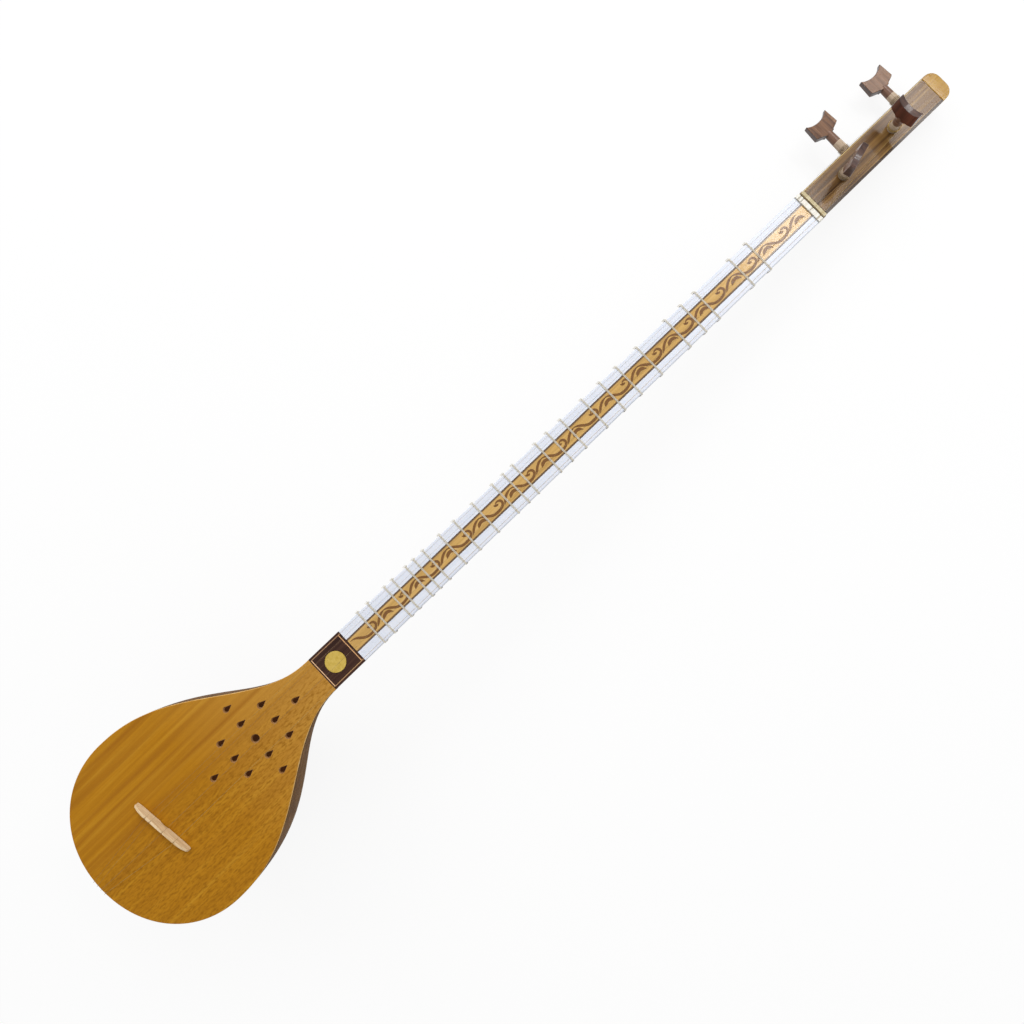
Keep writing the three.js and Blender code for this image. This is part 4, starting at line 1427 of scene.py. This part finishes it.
@dataclass
class FretTies:
    """The gut ties: a few strands side by side round the neck, with a knot at the side-peg edge.

    Attributes:
        running_gap: How far the strands stand off the neck.
        roundness: The power of the neck's section.
        loop_steps: The steps of a strand round the neck's back.
        corner: The size of the bend over the neck's edges.
        knot_level: The z of the knot's middle.
        knot_steps: The steps of each of its turns.
        knot_seat_share: How far the knot's middle stands off the strands, as a share of its radius.
        knot_run: Where the knot begins and ends along the neck, from the tie's middle.
        knot_end: How far the knot's end sticks out.
    """

    count: int = 25
    strands: int = 4
    strand_radius: float = 0.19
    strand_pitch: float = 0.36
    running_gap: float = 0.3
    nut_depth: float = 21.0
    roundness: float = 2.2
    loop_steps: int = 18
    corner: float = 0.5
    knot_radius: float = 0.6
    knot_level: float = -1.9
    knot_turns: float = 2.5
    knot_steps: int = 10
    knot_seat_share: float = 0.75
    knot_run: Point = (-2.0, 0.7)
    knot_end: Place = (0.5, 0.4, 0.5)
    knot_thickness_share: float = 1.1

    def loop(self, x: float, along: float) -> list[Vector]:
        """Draws one strand round the neck.

        Args:
            x: The tie's place.
            along: The strand's place in the tie.

        Returns:
            The loop's points.
        """
        share = (x - BOARD_LENGTH) / (NUT_X - BOARD_LENGTH)
        off = self.running_gap + self.strand_radius
        half = mixed(HEEL_WIDTH, NUT_WIDTH, share) / 2 + off
        top = -FACE_THICKNESS - SEAT_GAP
        depth = mixed(HEEL_DEPTH, self.nut_depth, share) + top + off
        shares = [i / self.loop_steps for i in range(self.loop_steps + 1)]
        around = Section(half, depth, self.roundness).even(shares)
        edge, face = half - self.corner, off - self.corner
        over = [(-half, face), (-edge, off), (edge, off), (half, face)]
        return [Vector((x + along, y, z)) for y, z in [(p.x, top + p.y) for p in around] + over]

    def knot(self, x: float, edge: float) -> list[Vector]:
        """Draws the knot: round turns over the strands and a short end.

        Args:
            x: The tie's place.
            edge: The y of the strands' outer side.

        Returns:
            The knot's points.
        """
        steps = round(self.knot_turns * self.knot_steps)
        points = []
        for i in range(steps + 1):
            turn = i / self.knot_steps * 2 * math.pi
            y = edge + self.knot_radius * (self.knot_seat_share + math.cos(turn))
            z = self.knot_level + self.knot_radius * math.sin(turn)
            points.append(Vector((x + mixed(*self.knot_run, i / steps), y, z)))
        return points + [points[-1] + Vector(self.knot_end)]

    def build(self, shop: Workshop) -> None:
        """Ties every fret where its node is.

        Args:
            shop: Where pieces are finished.
        """
        middle = (self.strands - 1) / 2
        for i in range(1, self.count + 1):
            node = f"fret_{i:02d}"
            low, high = shop.extent(node)
            x = (low.x + high.x) / 2
            loops = [self.loop(x, (k - middle) * self.strand_pitch) for k in range(self.strands)]
            strands = cord_shape(loops, self.strand_radius, closed=True)
            edge = max(p.y for p in loops[0]) + self.strand_radius
            knot_radius = self.strand_radius * self.knot_thickness_share
            shape = joined([strands, cord_shape([self.knot(x, edge)], knot_radius, closed=False)])
            shop.piece(f"tie_{i:02d}", shape, (GUT,), body=node, stands_for=node, smooth_deg=70)


@dataclass
class Head:
    """The nut, the strip behind it, the headstock and its cap."""

    nut_easing: float = 0.15
    block_easing: float = 0.35
    cap_easing: float = 0.5

    def build(self, shop: Workshop) -> None:
        """Builds and dresses the head.

        Args:
            shop: Where pieces are finished.
        """
        shop.eased_copy("bone_nut", "nut", self.nut_easing, BONE_NUT)
        shop.dress("pegbox_end_strip", BONE_CREAM)
        shop.eased_copy("head_block", "headstock", self.block_easing, HEAD_WALNUT)
        shop.eased_copy("head_cap", "headstock_cap", self.cap_easing, CAP)


@dataclass(frozen=True)
class Peg:
    """One turned peg.

    Attributes:
        node: The node that it replaces, and the body that it turns with.
        foot: Where its axis leaves the headstock.
        lean: Its axis's turn about x, 0 for a peg in the front.
        through: How far the shank goes into the headstock.
        neck: How far the head stands off the headstock.
        turn_deg: How far the head is turned about the axis.
        head: The head's finish.
    """

    node: str
    foot: Vector
    lean: float
    through: float
    neck: float
    turn_deg: float
    head: Wood

    @property
    def kinds(self) -> tuple[Wood, ...]:
        """Returns the finishes of the shank, the head, its edge in painted shade and the collar under it."""
        return (PEG_SHANK, self.head, SHADED_PEG_RIM, PEG_COLLAR)


@dataclass
class Pegs:
    """The four pegs, each a turned shank and a fishtail head.

    Attributes:
        pale_share: The share of the shank outside the headstock that is pale.
        sunk_share: How far the shank goes into the head, as a share of the head's height.
        flare_shares: The head's flared shoulder: its curve's control points, as shares of the head's
            half width and height.
        horn_shares: The corner of its horn, as the same shares.
        hollow_shares: Its hollow end: the curve's control points, as the same shares.
        flat_normal: The head's faces that look up more than this are its flat sides.
    """

    start_depth: float = 25.0
    tip_depth: float = 22.0
    side_axis_depth: float = 11.5
    front_turns_deg: Point = (17.0, 90.0)
    front_necks: Point = (15.5, 15.5)
    side_necks: Point = (18.3, 14.8)
    shank: float = 7.6
    waist: float = 6.4
    tip: float = 5.8
    tip_setback: float = 0.6
    tip_chamfer: float = 0.3
    shank_steps: int = 24
    pale_share: float = 0.56
    sunk_share: float = 0.125
    head_width: float = 20.4
    head_height: float = 15.5
    flare_shares: tuple[Point, ...] = ((0.36, 0.0), (0.4, 0.1), (0.75, 0.1), (1.0, 0.22))
    flare_steps: int = 8
    horn_shares: Point = (0.96, 0.98)
    hollow_shares: tuple[Point, ...] = ((0.93, 1.0), (0.5, 0.7), (-0.5, 0.7), (-0.93, 1.0))
    hollow_steps: int = 14
    waist_thickness: float = 6.0
    horn_thickness: float = 4.3
    rounding: float = 0.4
    flat_normal: float = 0.8

    def places(self) -> list[Peg]:
        """Places the front and the side pegs.

        Returns:
            The four pegs.
        """
        pegs = []
        for i in range(2):
            front_x = NUT_X + FRONT_PEG_SHARES[i] * HEAD_LENGTH
            front_share = (front_x - HEAD_START) / (TIP_X - HEAD_START)
            depth = mixed(self.start_depth, self.tip_depth, front_share)
            foot = Vector((front_x, 0, 0))
            turn = self.front_turns_deg[i]
            # Front heads take the darker plum wood: painted shade on their upright faces.
            pegs.append(Peg(f"peg_front_{i + 1}", foot, 0.0, depth, self.front_necks[i], turn, PEG_HEAD))
            side_x = NUT_X + SIDE_PEG_SHARES[i] * HEAD_LENGTH
            side_share = (side_x - HEAD_START) / (TIP_X - HEAD_START)
            width = mixed(HEAD_START_WIDTH, HEAD_TIP_WIDTH, side_share)
            foot = Vector((side_x, width / 2, -self.side_axis_depth))
            lean = -math.pi / 2
            pegs.append(Peg(f"peg_side_{i + 1}", foot, lean, width, self.side_necks[i], 0.0, PEG_HEAD_SIDE))
        return pegs

    def shank_shape(self, peg: Peg) -> Shape:
        """Turns the shank, pale below and brown under the head.

        Args:
            peg: The peg.

        Returns:
            The shape, upright on the peg's foot.
        """
        top = peg.neck + self.head_height * self.sunk_share
        pale = peg.neck * self.pale_share
        foot, waist, tip = self.shank / 2, self.waist / 2, self.tip / 2
        end = self.tip_setback - peg.through
        profile = [
            (0.0, end),
            (tip - self.tip_chamfer, end),
            (tip, end + self.tip_chamfer),
            (foot, 0.0),
            (mixed(foot, waist, pale / top), pale),
            (waist, top),
            (0.0, top),
        ]
        shape = bmesh.new()
        verts = [shape.verts.new((r, 0, z)) for r, z in profile]
        edges = [shape.edges.new(pair) for pair in zip(verts, verts[1:])]
        bmesh.ops.spin(
            shape,
            geom=verts + edges,
            axis=(0, 0, 1),
            cent=(0, 0, 0),
            angle=2 * math.pi,
            steps=self.shank_steps,
            use_merge=True,
        )
        bmesh.ops.remove_doubles(shape, verts=shape.verts, dist=DRAWN_MERGE_GAP)
        bmesh.ops.recalc_face_normals(shape, faces=shape.faces)
        for face in shape.faces:
            is_collar = face.calc_center_median().z > pale
            face.material_index = peg.kinds.index(PEG_COLLAR if is_collar else PEG_SHANK)
        return shape

    def bend(self, shares: tuple[Point, ...], steps: int) -> list[Point]:
        """Draws a cubic curve of the head's outline.

        Args:
            shares: Its four control points, as shares of the head's half width and height.
            steps: How many points it has.

        Returns:
            The curve's points.
        """
        controls = [Vector((x * self.head_width / 2, y * self.head_height, 0)) for x, y in shares]
        return [(p.x, p.y) for p in interpolate_bezier(*controls, steps)]

    def head_shape(self, peg: Peg) -> Shape:
        """Cuts the fishtail: a waist, flared shoulders and a hollow end between two thinner horns.

        Args:
            peg: The peg.

        Returns:
            The shape, flat, with its waist at y = 0.
        """
        horn = (self.horn_shares[0] * self.head_width / 2, self.horn_shares[1] * self.head_height)
        right = self.bend(self.flare_shares, self.flare_steps) + [horn]
        left = [(-x, y) for x, y in right[::-1]]
        outline = right + self.bend(self.hollow_shares, self.hollow_steps) + left
        thick = self.waist_thickness
        shape = flat_shape([outline], thick, thick / 2, self.rounding)
        for face in shape.faces:
            is_flat = abs(face.normal.z) > self.flat_normal
            # Faces that are not the flat sides take the rim's painted shade.
            face.material_index = peg.kinds.index(peg.head if is_flat else SHADED_PEG_RIM)
        for vert in shape.verts:
            vert.co.z *= mixed(thick, self.horn_thickness, vert.co.y / self.head_height) / thick
        return shape

    def build(self, shop: Workshop) -> None:
        """Builds the four pegs.

        Args:
            shop: Where pieces are finished.
        """
        for peg in self.places():
            head = self.head_shape(peg)
            stand = Matrix.Translation((0, 0, peg.neck)) @ Matrix.Rotation(math.pi / 2, 4, "X")
            head.transform(Matrix.Rotation(math.radians(peg.turn_deg), 4, "Z") @ stand)
            shape = joined([self.shank_shape(peg), head])
            shape.transform(Matrix.Translation(peg.foot) @ Matrix.Rotation(peg.lean, 4, "X"))
            name = f"turned_{peg.node}"
            shop.piece(name, shape, peg.kinds, body=peg.node, stands_for=peg.node)


@dataclass
class BridgeAndStrings:
    """The loose bridge and the four strings with their windings.

    Attributes:
        thinning: How far a string's surface is drawn in, since the real wire hardly shows.
    """

    bridge_easing: float = 0.12
    bridge_easing_deg: float = 30.0
    string_count: int = 4
    brass_string: int = 4
    thinning: float = 0.09

    def build(self, shop: Workshop) -> None:
        """Builds the bridge and dresses the strings.

        Args:
            shop: Where pieces are finished.
        """
        shape = eased(shop.copy_of("bridge"), self.bridge_easing, self.bridge_easing_deg, 1)
        shop.piece(
            "maple_bridge",
            shape,
            (BRIDGE_WOOD,),
            body="bridge",
            stands_for="bridge",
            smooth_deg=18.0,
        )
        for i in range(1, self.string_count + 1):
            metal, slot = (BRASS, "string_brass") if i == self.brass_string else (STEEL, "string_steel")
            wire = shop.copy_of(f"string_{i}")
            wire.normal_update()
            for vert in wire.verts:
                vert.co -= vert.normal * self.thinning
            shop.piece(f"wire_{i}", wire, (metal,), stands_for=f"string_{i}", smooth_deg=70)
            shop.dress(f"string_winding_{i}", metal)


@dataclass(frozen=True)
class Lamp:
    """A soft lamp that faces down onto the playing face.

    Attributes:
        name: The lamp's name.
        place: Where it hangs over the playing face.
        lean_deg: How far it is turned about the neck's axis, and then about the one across it.
        size: Its length along the neck and across it, in metres.
        power: Its power in watts.
    """

    name: str
    place: Place
    lean_deg: Point
    size: Point
    power: float

    def hang(self, space: Space) -> None:
        """Hangs the lamp.

        Args:
            space: The instrument's frame.
        """
        lamp = bpy.data.lights.new(self.name, "AREA")
        lamp.shape = "RECTANGLE"
        lamp.size, lamp.size_y = self.size
        lamp.energy = self.power
        held = bpy.data.objects.new(self.name, lamp)
        level = space.matrix().to_3x3().normalized().to_4x4()
        turn = Euler([math.radians(angle) for angle in self.lean_deg] + [0.0]).to_matrix().to_4x4()
        held.matrix_world = Matrix.Translation(space.matrix() @ Vector(self.place)) @ level @ turn
        bpy.context.scene.collection.objects.link(held)


@dataclass
class Studio:
    """The pale floor, the soft lights and the camera over the instrument.

    Two narrow lamps gleam in the lacquer beyond the nut, and two broad ones hang beside it.

    Attributes:
        stand: Where the camera stands over the playing face.
        middle: The point of the playing face at the picture's centre.
        turn_deg: How far the instrument's long axis is turned in the picture.
        roll_deg: How far the camera leans to the right side of the neck.
        view_deg: The lens's angle across the picture.
        sensor_mm: The sensor's width.
        clip: How near and how far the camera sees, in metres.
        floor_size: The floor's side, in metres.
        floor_grey: How much light the floor gives back.
        floor_white_share: How far the floor is plain white to the camera, which leaves the shadow.
        world_light: The strength of the world's light on the instrument, where 1 is white.
        lamps: The lamps.
    """

    stand: Place = (413.0, -42.0, 600.0)
    middle: Point = (410.9, -10.3)
    turn_deg: float = 43.78
    roll_deg: float = 2.1
    view_deg: float = 64.2
    sensor_mm: float = 36.0
    clip: Point = (0.01, 20.0)
    floor_size: float = 6.0
    floor_grey: float = 0.9
    floor_white_share: float = 0.88
    world_light: float = 0.55
    lamps: tuple[Lamp, ...] = (
        Lamp("strip softbox over the nut", (1518.0, 120.0, 1714.0), (0.0, 0.0), (0.24, 1.0), 9.0),
        Lamp("strip softbox over the cap", (2027.0, 120.0, 1714.0), (0.0, 0.0), (0.15, 1.0), 7.0),
        Lamp("softbox beside the head", (1300.0, 1000.0, 1600.0), (-32.0, 30.0), (1.0, 1.0), 12.0),
        Lamp("softbox beside the bowl", (80.0, 1500.0, 1350.0), (-48.0, -10.0), (1.0, 1.0), 10.0),
    )

    def build_floor(self) -> None:
        """Lays the floor: pale, brighter to the camera, with the instrument's soft shadow."""
        shape = bmesh.new()
        bmesh.ops.create_grid(shape, x_segments=1, y_segments=1, size=self.floor_size / 2)
        mesh = bpy.data.meshes.new("floor")
        shape.to_mesh(mesh)
        shape.free()
        floor = bpy.data.objects.new("floor", mesh)
        bpy.context.scene.collection.objects.link(floor)
        material = bpy.data.materials.new("pale studio floor")
        material.use_nodes = True
        nodes = Nodes(material.node_tree)
        grey = (self.floor_grey, self.floor_grey, self.floor_grey, 1.0)
        plain = nodes.add("ShaderNodeBsdfDiffuse", {"Color": grey})
        white = nodes.add("ShaderNodeEmission", {"Strength": 1.0})
        kept = {"operation": "MULTIPLY", 1: self.floor_white_share}
        share = nodes.add("ShaderNodeMath", kept, {0: self.seen(nodes)})
        parts = {0: share.outputs[0], 1: plain.outputs[0], 2: white.outputs[0]}
        blend = nodes.add("ShaderNodeMixShader", links=parts)
        nodes.add("ShaderNodeOutputMaterial", links={"Surface": blend.outputs[0]})
        mesh.materials.append(material)

    def seen(self, nodes: Nodes) -> Socket:
        """Tells what the camera sees, by itself or in a gloss or a glass.

        Args:
            nodes: The nodes of the floor or the world.

        Returns:
            A socket that is 1 there, and 0 elsewhere.
        """
        path = nodes.add("ShaderNodeLightPath")
        total = path.outputs["Is Camera Ray"]
        for name in ("Is Glossy Ray", "Is Transmission Ray"):
            either = nodes.add("ShaderNodeMath", {"operation": "MAXIMUM"}, {0: total, 1: path.outputs[name]})
            total = either.outputs[0]
        return total

    def build_world(self) -> None:
        """Makes the backdrop white to the camera and an even, low light elsewhere."""
        world = bpy.data.worlds.new("studio")
        bpy.context.scene.world = world
        world.use_nodes = True
        nodes = Nodes(world.node_tree)
        light = {"To Min": self.world_light, "To Max": 1.0}
        strength = nodes.add("ShaderNodeMapRange", light, {"Value": self.seen(nodes)})
        ground = nodes.add(
            "ShaderNodeBackground", {"Color": (1.0, 1.0, 1.0, 1.0)}, {"Strength": strength.outputs[0]}
        )
        nodes.add("ShaderNodeOutputWorld", links={"Surface": ground.outputs[0]})

    def build_camera(self, space: Space) -> None:
        """Hangs the camera over the playing face.

        Args:
            space: The instrument's frame.
        """
        turn = math.radians(self.turn_deg)
        lean = Matrix.Rotation(math.radians(self.roll_deg), 3, "X")
        right = lean @ Vector((math.cos(turn), -math.sin(turn), 0))
        up = lean @ Vector((math.sin(turn), math.cos(turn), 0))
        back = lean @ Vector((0, 0, 1))
        sight = Vector((*self.middle, 0)) - Vector(self.stand)
        whole = -2 * math.tan(math.radians(self.view_deg) / 2) * sight.dot(back)
        basis = space.matrix().to_3x3().normalized() @ Matrix((right, up, back)).transposed()
        lens = bpy.data.cameras.new("camera")
        lens.sensor_width = self.sensor_mm
        lens.angle = math.radians(self.view_deg)
        lens.shift_x = sight.dot(right) / whole
        lens.shift_y = sight.dot(up) / whole
        lens.clip_start, lens.clip_end = self.clip
        camera = bpy.data.objects.new("camera", lens)
        camera.matrix_world = Matrix.Translation(space.matrix() @ Vector(self.stand)) @ basis.to_4x4()
        bpy.context.scene.collection.objects.link(camera)
        bpy.context.scene.camera = camera

    def build(self, space: Space) -> None:
        """Builds the studio.

        Args:
            space: The instrument's frame.
        """
        self.build_floor()
        self.build_world()
        for lamp in self.lamps:
            lamp.hang(space)
        self.build_camera(space)
        bpy.context.scene.view_settings.view_transform = "Standard"


def main() -> None:
    """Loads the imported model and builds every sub-assembly on it."""
    logging.basicConfig(level=logging.INFO, format="%(name)s: %(message)s")
    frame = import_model()
    shop = Workshop(frame)
    for part in (Soundbox(), Neck(), FretTies(), Head(), Pegs(), BridgeAndStrings()):
        part.build(shop)
    Studio().build(shop.space)


if __name__ == "__main__":
    main()
